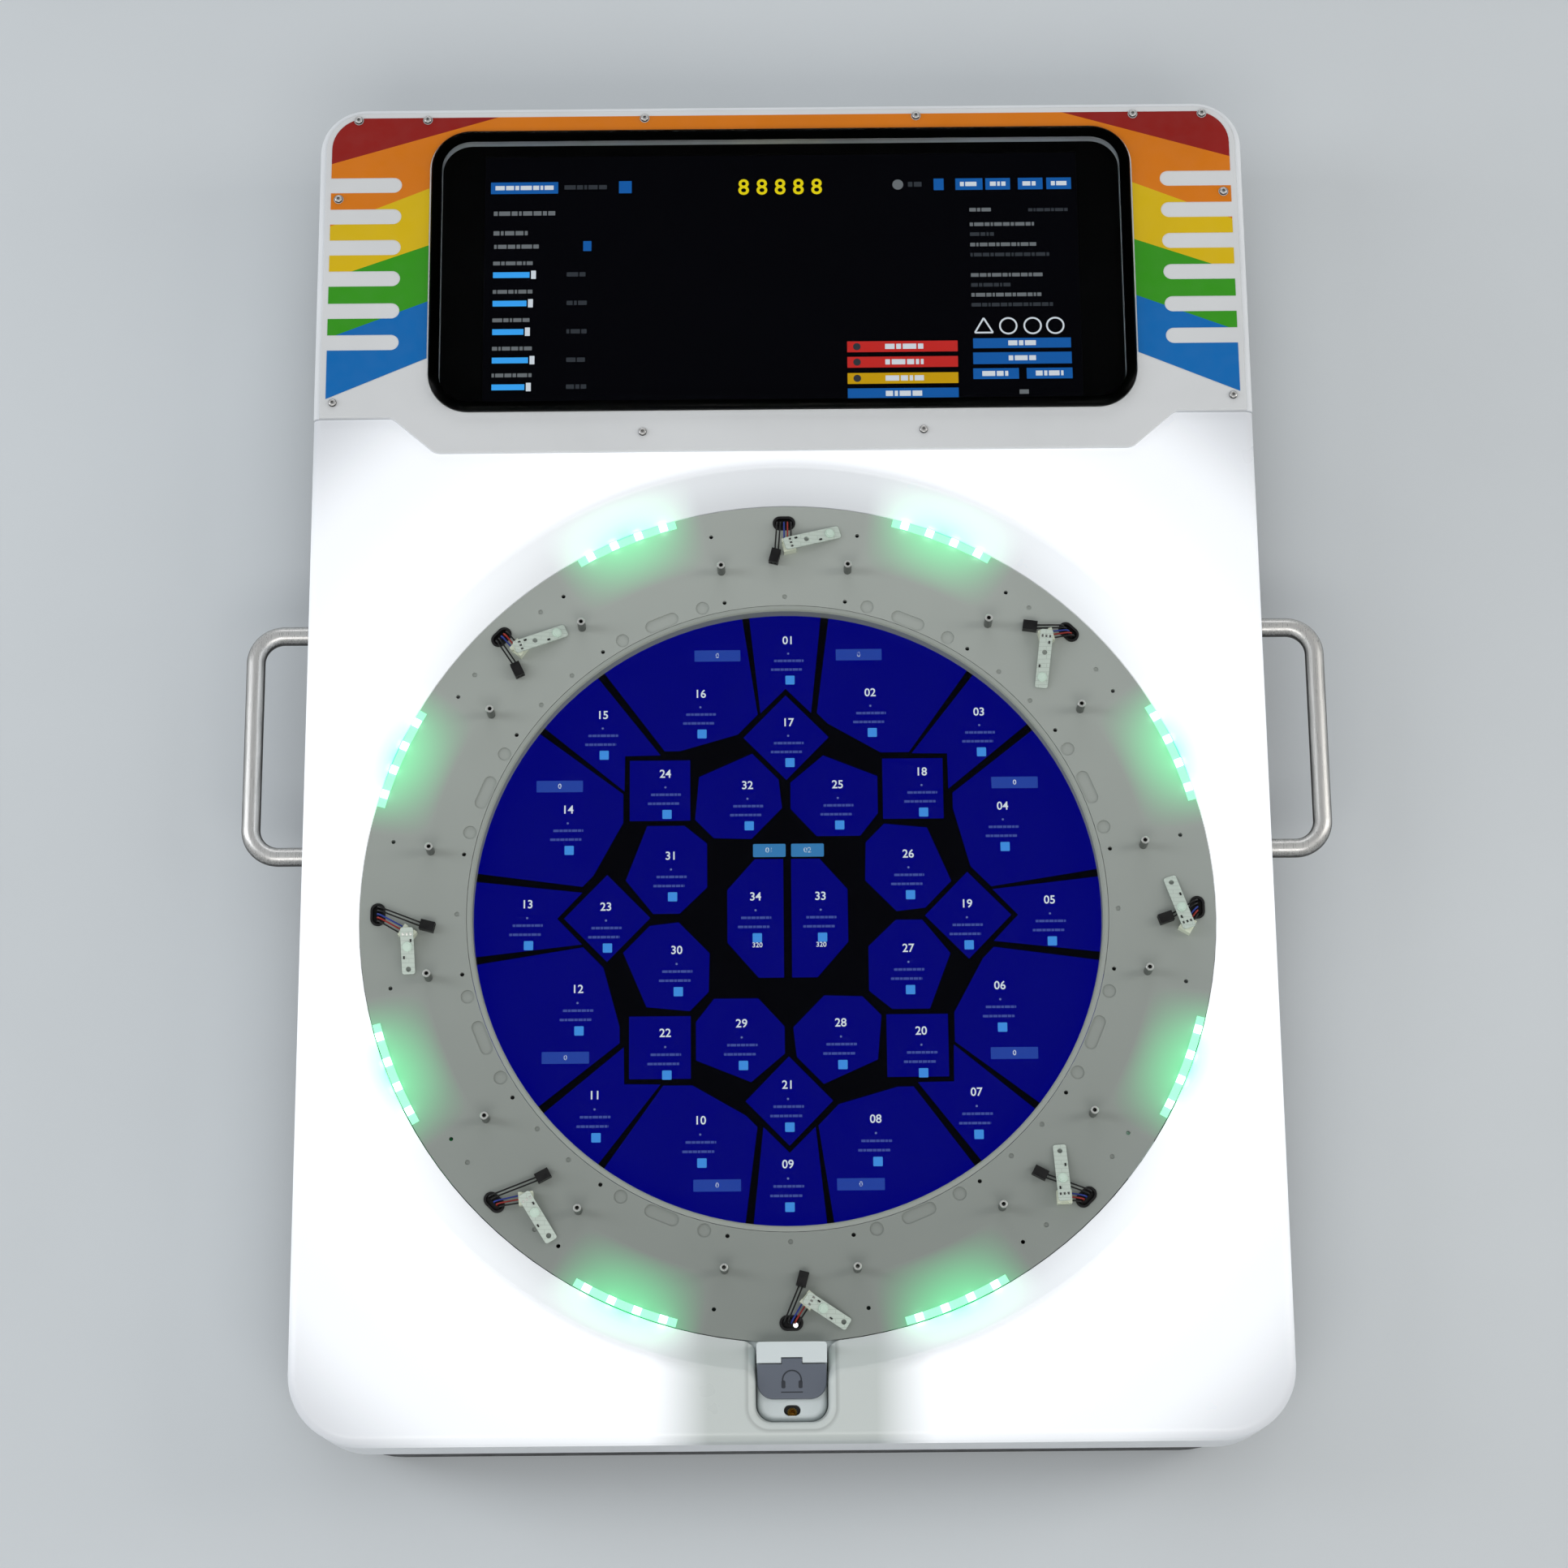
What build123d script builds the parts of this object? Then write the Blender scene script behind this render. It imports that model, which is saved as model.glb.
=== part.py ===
from build123d import *
from math import atan2, cos, degrees, hypot, radians, sin
import os

os.makedirs("parts", exist_ok=True)

# A home rhythm game cabinet lying on its back. X runs to the right, Y runs up the face
# towards the upper display, and Z comes out of the face. The origin is under the middle
# of the cabinet, on the surface that its feet stand on. All sizes are in millimetres.

# ---- Body ----
body_width = 600
body_height = 861.5
body_middle = 2.75
lower_corner = 42
upper_corner = 30
foot_height = 6
tray_depth = 30
frame_depth = 50
cover_depth = 24
seam = 0.6
contact_gap = 0.3

tray_level = foot_height
frame_level = tray_level + tray_depth
cover_level = frame_level + frame_depth
front_level = cover_level + cover_depth
body_top = body_middle + body_height / 2
body_bottom = body_middle - body_height / 2
body_side = body_width / 2

# ---- Rear tray ----
tray_inset = 0.5
tray_corner = 60
tray_sheet = 2
tray_floor = tray_level + tray_sheet
tray_side = body_side - tray_inset
tray_end = body_top - tray_inset
tray_length = body_height - 2 * tray_inset

# ---- Frame ----
rail_width = 20
rail_wall = 2.5
end_wall = 5
side_straight_low = body_bottom + lower_corner
side_straight_high = body_top - upper_corner
crossbar_width = 30
crossbar_depth = 14
crossbar_wall = 2

# ---- Front cover and its round well ----
cover_wall = 4
edge_round = 6
shoulder_y = 217.5
ring_y = -102.5
well_radius = 266
flare_width = 20
lip_wall = 4
lip_foot = cover_level
flare_start = cover_level + 4
notch_gap = 0.5
notch_mouth_round = 9
rim_round = 5
dimple_radius = 14
dimple_depth = 0.8

# ---- Screen ----
screen_width = 392.3
screen_height = 720
screen_bottom = -305
screen_y = screen_bottom + screen_height / 2
screen_border = 10
crossbar_level = 42
screen_level = crossbar_level + crossbar_depth
backlight_depth = 14
cell_depth = 4
bezel_depth = 2
cell_level = screen_level + backlight_depth
bezel_level = cell_level + cell_depth
glass_level = bezel_level + bezel_depth
glass_depth = 3.5
glass_length = 425

# ---- Ring plate ----
plate_depth = 3
plate_top = 90
plate_level = plate_top - plate_depth
plate_clearance = 0.6
plate_radius = well_radius - plate_clearance
opening_radius = 195.5
trim_wall = 3.5
trim_clearance = 0.3
trim_radius = opening_radius + trim_wall
stations = 8
station_step = 360 / stations

# ---- Button standoffs ----
standoff_circle = 225.5
standoff_angle = 10.25
standoff_radius = 2.5
standoff_bore = 1.25
standoff_height = 14
standoff_tap_depth = 7.4
standoff_screw_radius = 1.5
standoff_screw_grip = 6
screw_clearance = 0.05

# ---- Cable ports and loose button harness ----
port_circle = 254
port_length = 13.6
port_width = 8.5
lead_radius = 0.5
lead_bend = 3
lead_pitch = 2.2
connector_length = 9
connector_width = 8
connector_height = 6.5
plug_length = 9
plug_width = 6
plug_height = 6
board_width = 8
board_depth = 1.2

# ---- Upper display ----
panel_depth = 3
panel_rim = 4
panel_level = front_level
panel_top = panel_level + panel_depth
tab_half = 250
tab_foot_half = 222
tab_y = 193.3
window_width = 454
window_height = 194.5
window_y = 317.6
window_corner = 26
window_depth = 5
window_lap = 7
decal_depth = 0.3
decal_inset = 4
decal_gap = 1

# ---- Handles ----
handle_span = 146
handle_y = 15
handle_radius = 6
handle_reach = 45
handle_bend = 18
handle_level = frame_level + frame_depth / 2
flange_radius = 10
flange_depth = 1.5
handle_screw_radius = 2.5

# ---- Headphone pod ----
pod_width = 42
pod_end = -416
pod_start = -369
pod_level = 66
pod_top = 104
pod_corner = 10
pod_flange = 61
pod_flange_length = 14.5
pod_flange_depth = 2.5
notch_width = pod_width + 2 * notch_gap
notch_end = pod_end - notch_gap
notch_corner = pod_corner + notch_gap
flap_start = -382.3
flap_end = -402.8
flap_depth = 3
hinge_y = -380.1
hinge_radius = 0.75
hinge_clearance = 0.06
tab_width = 12
jack_y = -410.4
jack_bore = 1.8
jack_radius = 2.8
jack_depth = 14


def level(height):
    """The level plane at a height, with its origin on the body's centre line."""
    return Plane((0, 0, height))


def ring_level(height):
    """The level plane at a height, with its origin at the ring's centre."""
    return Plane((0, ring_y, height))


def body_outline(width, height, low_corner, high_corner):
    """A rectangle with one corner radius at its lower end and one at its upper end."""
    with BuildSketch() as outline:
        with Locations((0, body_middle)):
            Rectangle(width, height)
        fillet(outline.vertices().group_by(Axis.Y)[0], low_corner)
        fillet(outline.vertices().group_by(Axis.Y)[-1], high_corner)
    return outline.sketch


def notch_outline(grow):
    """The headphone notch, from inside the well to its closed lower end."""
    notch_start = ring_y - well_radius + 12
    length = notch_start - notch_end + grow
    with BuildSketch() as outline:
        with Locations((0, notch_start - length / 2)):
            Rectangle(notch_width + 2 * grow, length)
        fillet(outline.vertices().group_by(Axis.Y)[0], notch_corner + grow)
    return outline.sketch


def mirrored(x, y):
    """A point and its mirror image in the centre line."""
    return [(x, y), (-x, y)]


def polar_to_point(radius, angle):
    """The point at a radius and an angle in degrees."""
    return (radius * cos(radians(angle)), radius * sin(radians(angle)))


# ---- Rear tray: folded steel, open at the front ----
fan_size = 80
fan_depth = 25
fan_bore = 37
fan_places = mirrored(110, 290)
speaker_places = mirrored(165, -385)
mount_spacing = 200
mount_hole = 3
tray_screw_radius = 1.5
tray_screw_places = mirrored(290, 250) + mirrored(290, 0) + mirrored(290, -250)
tray_flange = 14
foot_radius = 15
foot_places = mirrored(230, 350) + mirrored(230, -350)
spacer_height = 3
board_sheet = 1.6
socket_level = tray_floor + spacer_height + board_sheet
socket_clearance = 0.2
inlet_x = -200
inlet_width = 52
inlet_height = 22
inlet_level = tray_floor
usb_x = 60
usb_width = 34
usb_height = 15
video_x = 120
video_width = 18
video_height = 9

with BuildPart() as rear_tray:
    with BuildSketch(level(tray_level)):
        add(body_outline(2 * tray_side, tray_length, tray_corner, tray_corner))
    extrude(amount=tray_depth)
    with BuildSketch(level(tray_floor)):
        add(
            body_outline(
                2 * (tray_side - tray_sheet),
                tray_length - 2 * tray_sheet,
                tray_corner - tray_sheet,
                tray_corner - tray_sheet,
            )
        )
    extrude(amount=tray_depth, mode=Mode.SUBTRACT)
    # Vent slots under the fans and along the lower end, and the mounting holes.
    with BuildSketch(level(tray_level)):
        with Locations(*fan_places):
            with GridLocations(8, 0, 8, 1):
                SlotOverall(62, 4, rotation=90)
        with Locations(*speaker_places):
            with GridLocations(8, 0, 5, 1):
                SlotOverall(36, 4, rotation=90)
        with GridLocations(mount_spacing, mount_spacing, 2, 2):
            Circle(mount_hole)
    extrude(amount=tray_sheet, mode=Mode.SUBTRACT)
    # Openings for the sockets in the upper end wall.
    for x, base, width, height in (
        (inlet_x, inlet_level, inlet_width, inlet_height),
        (usb_x, socket_level, usb_width, usb_height),
        (video_x, socket_level, video_width, video_height),
    ):
        with BuildSketch(Plane.XZ.offset(-tray_end)):
            with Locations((x, base + height / 2)):
                Rectangle(width + 2 * socket_clearance, height + 2 * socket_clearance)
        extrude(amount=tray_sheet, mode=Mode.SUBTRACT)
    # Folded tabs inside the side walls that take the rear screws.
    with BuildSketch(level(frame_level - tray_sheet)):
        for x, y in tray_screw_places:
            side = 1 if x > 0 else -1
            with Locations((side * (tray_side - tray_flange / 2), y)):
                Rectangle(tray_flange, 40)
            with Locations((x, y)):
                Circle(tray_screw_radius + screw_clearance, mode=Mode.SUBTRACT)
    extrude(amount=tray_sheet)
rear_tray.part.label = "rear_tray"
export_step(rear_tray.part, "parts/rear_tray.step")

with BuildPart() as rear_screws:
    with BuildSketch(level(frame_level - tray_sheet)):
        with Locations(*tray_screw_places):
            Circle(tray_screw_radius)
    extrude(amount=tray_sheet + rail_wall)
    with BuildSketch(level(frame_level - tray_sheet - 2.2)):
        with Locations(*tray_screw_places):
            Circle(2.9)
            RegularPolygon(1.3, 6, mode=Mode.SUBTRACT)
    extrude(amount=2.2)
rear_screws.part.label = "rear_screws"
export_step(rear_screws.part, "parts/rear_screws.step")

with BuildPart() as feet:
    with BuildSketch(level(0)):
        with Locations(*foot_places):
            Circle(foot_radius)
    extrude(amount=foot_height, taper=4)
feet.part.label = "feet"
export_step(feet.part, "parts/feet.step")

# ---- Frame: two side tubes and two bent end walls ----
rail_length = side_straight_high - side_straight_low
rail_y = (side_straight_high + side_straight_low) / 2
rail_x = body_side - rail_width / 2


def side_rail(side):
    """One hollow side tube, with holes for the handle and rear screws."""
    with BuildPart() as rail:
        with BuildSketch(level(frame_level)):
            with Locations((side * rail_x, rail_y)):
                Rectangle(rail_width, rail_length)
        extrude(amount=frame_depth)
        with BuildSketch(level(frame_level + rail_wall)):
            with Locations((side * rail_x, rail_y)):
                Rectangle(rail_width - 2 * rail_wall, rail_length)
        extrude(amount=frame_depth - 2 * rail_wall, mode=Mode.SUBTRACT)
        with BuildSketch(level(frame_level)):
            for x, y in tray_screw_places:
                if x * side > 0:
                    with Locations((x, y)):
                        Circle(tray_screw_radius + screw_clearance)
        extrude(amount=rail_wall, mode=Mode.SUBTRACT)
        with BuildSketch(Plane.YZ.offset(side * rail_x)):
            with Locations((handle_y, handle_level)):
                with GridLocations(handle_span, 0, 2, 1):
                    Circle(handle_screw_radius + screw_clearance)
        extrude(amount=rail_width / 2, both=True, mode=Mode.SUBTRACT)
    return rail.part


def end_frame(side, corner, straight):
    """One bent end wall with its two rounded corners. side is 1 at the upper end."""
    end = body_top if side > 0 else body_bottom
    centre = (end + straight) / 2
    with BuildPart() as wall:
        with BuildSketch(level(frame_level)) as outline:
            with Locations((0, centre)):
                Rectangle(body_width, abs(end - straight))
            outer = outline.vertices().group_by(Axis.Y)[-1 if side > 0 else 0]
            fillet(outer, corner)
            with BuildSketch(mode=Mode.PRIVATE) as inner:
                with Locations((0, centre - side * end_wall)):
                    Rectangle(body_width - 2 * end_wall, abs(end - straight))
                fillet(inner.vertices().group_by(Axis.Y)[-1 if side > 0 else 0], corner - end_wall)
            add(inner.sketch, mode=Mode.SUBTRACT)
        extrude(amount=frame_depth)
    return wall.part


with BuildPart() as side_rail_left:
    add(side_rail(-1))
side_rail_left.part.label = "side_rail_left"
export_step(side_rail_left.part, "parts/side_rail_left.step")

with BuildPart() as side_rail_right:
    add(side_rail(1))
side_rail_right.part.label = "side_rail_right"
export_step(side_rail_right.part, "parts/side_rail_right.step")

with BuildPart() as lower_frame:
    add(end_frame(-1, lower_corner, side_straight_low))
lower_frame.part.label = "lower_frame"
export_step(lower_frame.part, "parts/lower_frame.step")

with BuildPart() as upper_frame:
    add(end_frame(1, upper_corner, side_straight_high))
upper_frame.part.label = "upper_frame"
export_step(upper_frame.part, "parts/upper_frame.step")

# ---- Crossbars: channels between the side tubes that carry the screen and ring ----
crossbar_length = body_width - 2 * rail_width
post_x = 235
post_rise = 100
post_radius = 5
crossbar_places = [(0, ring_y - post_rise), (0, ring_y + post_rise), (0, 300)]
ring_post_places = mirrored(post_x, ring_y - post_rise) + mirrored(post_x, ring_y + post_rise)

with BuildPart() as crossbars:
    with BuildSketch(level(crossbar_level)):
        with Locations(*crossbar_places):
            Rectangle(crossbar_length, crossbar_width)
    extrude(amount=crossbar_depth)
    with BuildSketch(level(crossbar_level)):
        with Locations(*crossbar_places):
            Rectangle(crossbar_length, crossbar_width - 2 * crossbar_wall)
    extrude(amount=crossbar_depth - crossbar_wall, mode=Mode.SUBTRACT)
    # Welded posts under the ring plate.
    with BuildSketch(level(screen_level)):
        with Locations(*ring_post_places):
            Circle(post_radius)
    extrude(amount=plate_level - screen_level)
crossbars.part.label = "crossbars"
export_step(crossbars.part, "parts/crossbars.step")

# ---- Front cover: one moulded sheet with a flared well and a headphone notch ----
cover_length = shoulder_y - seam / 2 - body_bottom
cover_y = shoulder_y - seam / 2 - cover_length / 2
flare_top_radius = well_radius + flare_width
post_places = mirrored(246, 147) + mirrored(246, -349)
well_axis = Axis((0, ring_y, 0), (0, 0, 1))
dimple_sphere = (dimple_radius**2 + dimple_depth**2) / (2 * dimple_depth)

with BuildPart() as front_cover:
    with BuildSketch(level(cover_level)) as outline:
        with Locations((0, cover_y)):
            Rectangle(body_width, cover_length)
        fillet(outline.vertices().group_by(Axis.Y)[0], lower_corner)
    extrude(amount=cover_depth)
    fillet(front_cover.faces().sort_by(Axis.Z)[-1].edges().sort_by(Axis.Y)[:-1], edge_round)
    with BuildSketch(level(cover_level)) as cavity:
        with Locations((0, cover_y + cover_wall)):
            Rectangle(body_width - 2 * cover_wall, cover_length)
        fillet(cavity.vertices().group_by(Axis.Y)[0], lower_corner - cover_wall)
    extrude(amount=cover_depth - cover_wall, mode=Mode.SUBTRACT)
    # The sheet turns down into the well and around the notch.
    with BuildSketch(Plane.XZ.offset(-ring_y)):
        with BuildLine():
            Polyline(
                (well_radius - 1, lip_foot),
                (well_radius + lip_wall, lip_foot),
                (well_radius + lip_wall, flare_start - 1.7),
                (flare_top_radius + 1.7, front_level - lip_wall),
                (flare_top_radius + 5, front_level - lip_wall),
                (flare_top_radius + 5, front_level),
                (well_radius - 1, front_level),
                close=True,
            )
        make_face()
    revolve(axis=well_axis)
    with BuildSketch(level(lip_foot)):
        add(notch_outline(lip_wall))
    extrude(amount=front_level - lip_foot)
    # The opening itself: a flared well and a straight notch.
    with BuildSketch(level(lip_foot)):
        add(notch_outline(0))
    extrude(amount=cover_depth, mode=Mode.SUBTRACT)
    with BuildSketch(Plane.XZ.offset(-ring_y)):
        with BuildLine():
            Polyline(
                (0, lip_foot),
                (well_radius, lip_foot),
                (well_radius, flare_start),
                (flare_top_radius, front_level),
                (0, front_level),
                close=True,
            )
        make_face()
    revolve(axis=well_axis, mode=Mode.SUBTRACT)
    # Round the corners where the notch leaves the well, then the rim of the whole opening.
    mouth_edges = [
        edge
        for edge in front_cover.edges()
        if abs(abs(edge.center().X) - notch_width / 2) < 0.5
        and edge.center().Y > ring_y - flare_top_radius - edge_round
        and abs(edge.start_point().Z - edge.end_point().Z) > 2
    ]
    fillet(mouth_edges, notch_mouth_round)
    fillet(front_cover.faces().sort_by(Axis.Z)[-1].inner_wires()[0].edges(), rim_round)
    with Locations(*[(x, y, front_level + dimple_sphere - dimple_depth) for x, y in post_places]):
        Sphere(dimple_sphere, mode=Mode.SUBTRACT)
front_cover.part.label = "front_cover"
export_step(front_cover.part, "parts/front_cover.step")

with BuildPart() as cover_posts:
    # Pillars from the tray floor that hold the cover's face up.
    for x, y in post_places:
        with BuildSketch(level(tray_floor)):
            with Locations((x, y)):
                Circle(9)
        extrude(amount=3)
        with BuildSketch(level(tray_floor)):
            with Locations((x, y)):
                RegularPolygon(5, 6)
        extrude(amount=front_level - cover_wall - tray_floor)
cover_posts.part.label = "cover_posts"
export_step(cover_posts.part, "parts/cover_posts.step")

# ---- Upper housing around the second display ----
housing_start = shoulder_y + seam / 2
housing_length = body_top - housing_start
housing_y = housing_start + housing_length / 2
display_opening_width = window_width - 2 * window_lap
display_opening_height = window_height - 2 * window_lap

with BuildPart() as upper_housing:
    with BuildSketch(level(cover_level)) as outline:
        with Locations((0, housing_y)):
            Rectangle(body_width, housing_length)
        fillet(outline.vertices().group_by(Axis.Y)[-1], upper_corner)
    extrude(amount=cover_depth)
    fillet(upper_housing.faces().sort_by(Axis.Z)[-1].edges().sort_by(Axis.Y)[1:], edge_round / 2)
    with BuildSketch(level(cover_level)) as cavity:
        with Locations((0, housing_y - cover_wall)):
            Rectangle(body_width - 2 * cover_wall, housing_length)
        fillet(cavity.vertices().group_by(Axis.Y)[-1], upper_corner - cover_wall)
    extrude(amount=cover_depth - cover_wall, mode=Mode.SUBTRACT)
    with BuildSketch(level(cover_level)):
        with Locations((0, window_y)):
            RectangleRounded(
                display_opening_width, display_opening_height, window_corner - window_lap
            )
    extrude(amount=cover_depth, mode=Mode.SUBTRACT)
upper_housing.part.label = "upper_housing"
export_step(upper_housing.part, "parts/upper_housing.step")

# ---- Overlay panel that carries the window ----
panel_half = body_side - panel_rim
panel_end = body_top - panel_rim
panel_screw_radius = 1.5
panel_screw_head = 2.6
panel_screw_rise = 1.9
panel_screw_places = (
    mirrored(88.5, 424)
    + mirrored(230, 424)
    + mirrored(275, 424)
    + mirrored(287, 368.5)
    + mirrored(287.5, 227.5)
    + mirrored(89.5, 206)
)


def panel_outline(inset):
    """The overlay panel's outline, with its lower tab, drawn in by an inset."""
    half = panel_half - inset
    low = shoulder_y + inset
    with BuildSketch() as outline:
        with BuildLine():
            Polyline(
                (-half, low),
                (-half, panel_end - inset),
                (half, panel_end - inset),
                (half, low),
                (tab_half - inset, low),
                (tab_foot_half - inset, tab_y + inset),
                (-tab_foot_half + inset, tab_y + inset),
                (-tab_half + inset, low),
                close=True,
            )
        make_face()
        fillet(outline.vertices().group_by(Axis.Y)[-1], upper_corner - panel_rim - inset)
        fillet(outline.vertices().group_by(Axis.Y)[0], 10)
        shoulders = [v for v in outline.vertices() if abs(abs(v.X) - tab_half + inset) < 0.1]
        fillet(shoulders, 8)
    return outline.sketch


with BuildPart() as top_panel:
    with BuildSketch(level(panel_level)):
        add(panel_outline(0))
        with Locations((0, window_y)):
            RectangleRounded(
                display_opening_width,
                display_opening_height,
                window_corner - window_lap,
                mode=Mode.SUBTRACT,
            )
        with Locations(*panel_screw_places):
            Circle(panel_screw_radius + screw_clearance, mode=Mode.SUBTRACT)
    extrude(amount=panel_depth)
    fillet(top_panel.faces().sort_by(Axis.Z)[-1].outer_wire().edges(), 1)
top_panel.part.label = "top_panel"
export_step(top_panel.part, "parts/top_panel.step")

with BuildPart() as panel_screws:
    for x, y in panel_screw_places:
        with BuildSketch(level(panel_level)):
            with Locations((x, y)):
                Circle(panel_screw_radius)
        extrude(amount=panel_depth)
        with BuildSketch(level(panel_top)):
            with Locations((x, y)):
                Circle(panel_screw_head)
        extrude(amount=panel_screw_rise)
    fillet(panel_screws.faces().group_by(Axis.Z)[-1].edges(), 1.2)
    with BuildSketch(level(panel_top + panel_screw_rise)):
        with Locations(*panel_screw_places):
            RegularPolygon(1, 6)
    extrude(amount=-1.3, mode=Mode.SUBTRACT)
panel_screws.part.label = "panel_screws"
export_step(panel_screws.part, "parts/panel_screws.step")

with BuildPart() as display_window:
    with BuildSketch(level(panel_top)):
        with Locations((0, window_y)):
            RectangleRounded(window_width, window_height, window_corner)
    extrude(amount=window_depth)
    fillet(display_window.faces().sort_by(Axis.Z)[-1].edges(), window_depth * 0.7)
display_window.part.label = "display_window"
export_step(display_window.part, "parts/display_window.step")

# ---- Vinyl stripes on the panel, one node for each colour ----
# Each boundary runs from the panel's outer edge in to the window's side.
edge_x = panel_half - decal_inset
window_x = window_width / 2
red_inner_x = 174
red_orange = [(edge_x, 393.3), (red_inner_x, 428.4)]
orange_yellow = [(edge_x, 349.4), (window_x, 376)]
yellow_green = [(edge_x, 312.7), (window_x, 336)]
green_blue = [(edge_x, 271.7), (window_x, 297)]
blue_white = [(edge_x, 230.3), (window_x, 258)]
slot_length = 46
slot_width = 10.6
slot_places = [378, 356, 334.4, 312.7, 290.4, 268.6]


def vinyl(points):
    """A thin mirrored pair of pieces, cut back around the window, slots and screws."""
    with BuildPart() as sheet:
        with BuildSketch(level(panel_top)):
            for side in (-1, 1):
                with BuildLine():
                    Polyline(*[(side * x, y) for x, y in points], close=True)
                make_face()
            add(panel_outline(decal_inset), mode=Mode.INTERSECT)
            with Locations((0, window_y)):
                RectangleRounded(
                    window_width + 2 * decal_gap,
                    window_height + 2 * decal_gap,
                    window_corner + decal_gap,
                    mode=Mode.SUBTRACT,
                )
            slots = [(side * edge_x, y) for side in (-1, 1) for y in slot_places]
            with Locations(*slots):
                SlotOverall(2 * slot_length, slot_width, mode=Mode.SUBTRACT)
            with Locations(*panel_screw_places):
                Circle(panel_screw_head + 0.6, mode=Mode.SUBTRACT)
        extrude(amount=decal_depth)
    return sheet.part


with BuildPart() as decal_red:
    add(vinyl([*red_orange, (red_inner_x, panel_end), (edge_x, panel_end)]))
decal_red.part.label = "decal_red"
export_step(decal_red.part, "parts/decal_red.step")

with BuildPart() as decal_orange:
    above_window = [(red_inner_x, panel_end), (0, panel_end), (0, window_y)]
    side_edge = [(window_x, window_y), *reversed(orange_yellow)]
    add(vinyl([*red_orange, *above_window, *side_edge]))
decal_orange.part.label = "decal_orange"
export_step(decal_orange.part, "parts/decal_orange.step")

with BuildPart() as decal_yellow:
    add(vinyl([*orange_yellow, *reversed(yellow_green)]))
decal_yellow.part.label = "decal_yellow"
export_step(decal_yellow.part, "parts/decal_yellow.step")

with BuildPart() as decal_green:
    add(vinyl([*yellow_green, *reversed(green_blue)]))
decal_green.part.label = "decal_green"
export_step(decal_green.part, "parts/decal_green.step")

with BuildPart() as decal_blue:
    add(vinyl([*green_blue, *reversed(blue_white)]))
decal_blue.part.label = "decal_blue"
export_step(decal_blue.part, "parts/decal_blue.step")

# ---- Screen: backlight, cell, bezel, mask and touch glass ----
module_width = screen_width + 2 * screen_border
module_height = screen_height + 2 * screen_border
diffuser_depth = 4
mask_sheet = 2
mask_side = display_opening_width / 2 + 6
mask_start = 216
mask_end = body_top - end_wall - 1.5
mask_level = glass_level
mask_window_low = 226
mask_window_high = screen_bottom + screen_height - 1

with BuildPart() as screen_backlight:
    with BuildSketch(level(screen_level)):
        with Locations((0, screen_y)):
            Rectangle(module_width, module_height)
    extrude(amount=backlight_depth)
    with BuildSketch(level(cell_level)):
        with Locations((0, screen_y)):
            Rectangle(screen_width, screen_height)
    extrude(amount=-backlight_depth + 2, mode=Mode.SUBTRACT)
    # The diffuser stack inside the pan.
    with BuildSketch(level(cell_level - diffuser_depth)):
        with Locations((0, screen_y)):
            Rectangle(screen_width - 2 * contact_gap, screen_height - 2 * contact_gap)
    extrude(amount=diffuser_depth)
screen_backlight.part.label = "screen_backlight"
export_step(screen_backlight.part, "parts/screen_backlight.step")

with BuildPart() as screen_cell:
    with BuildSketch(level(cell_level)):
        with Locations((0, screen_y)):
            Rectangle(module_width - 4, module_height - 4)
    extrude(amount=cell_depth)
screen_cell.part.label = "screen_cell"
export_step(screen_cell.part, "parts/screen_cell.step")

with BuildPart() as screen_bezel:
    with BuildSketch(level(bezel_level)):
        with Locations((0, screen_y)):
            Rectangle(module_width, module_height)
            Rectangle(screen_width, screen_height, mode=Mode.SUBTRACT)
    extrude(amount=bezel_depth)
screen_bezel.part.label = "screen_bezel"
export_step(screen_bezel.part, "parts/screen_bezel.step")

with BuildPart() as touch_glass:
    with BuildSketch(ring_level(glass_level)):
        RectangleRounded(module_width, glass_length, 4)
    extrude(amount=glass_depth)
touch_glass.part.label = "touch_glass"
export_step(touch_glass.part, "parts/touch_glass.step")

with BuildPart() as display_mask:
    # A black box from the screen up to the housing, so that only the screen shows.
    mask_length = mask_end - mask_start
    with BuildSketch(level(mask_level)):
        with Locations((0, mask_start + mask_length / 2)):
            Rectangle(2 * mask_side, mask_length)
    extrude(amount=front_level - cover_wall - mask_level)
    with BuildSketch(level(mask_level + mask_sheet)):
        with Locations((0, mask_start + mask_length / 2)):
            Rectangle(2 * (mask_side - mask_sheet), mask_length - 2 * mask_sheet)
    extrude(amount=front_level - cover_wall - mask_level, mode=Mode.SUBTRACT)
    window_length = mask_window_high - mask_window_low
    with BuildSketch(level(mask_level)):
        with Locations((0, mask_window_low + window_length / 2)):
            Rectangle(screen_width - 2, window_length)
    extrude(amount=mask_sheet, mode=Mode.SUBTRACT)
display_mask.part.label = "display_mask"
export_step(display_mask.part, "parts/display_mask.step")

# ---- Ring plate and what is fixed to it ----
hole_radius = 1.3
inner_hole_circle = 204.8
outer_hole_circle = 249.7
hole_angle = 10.75
dimple_hole_radius = 1.5
rib_slot_circle = 203.8
rib_slot_length = 22
rib_slot_width = 8
rib_pad_radius = 4.2
rib_pad_angle = 7.7
rib_depth = 1
diagonal_outer = (250, 6.7)
diagonal_inner = (204.6, 3.8)
socket_depth = 7


def around(radius, angle, first=0.0, count=stations, step=station_step):
    """Places on a circle, at one angle past each of several evenly spaced stations."""
    return [polar_to_point(radius, first + index * step + angle) for index in range(count)]


standoff_places = around(standoff_circle, standoff_angle) + around(standoff_circle, -standoff_angle)

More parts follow.
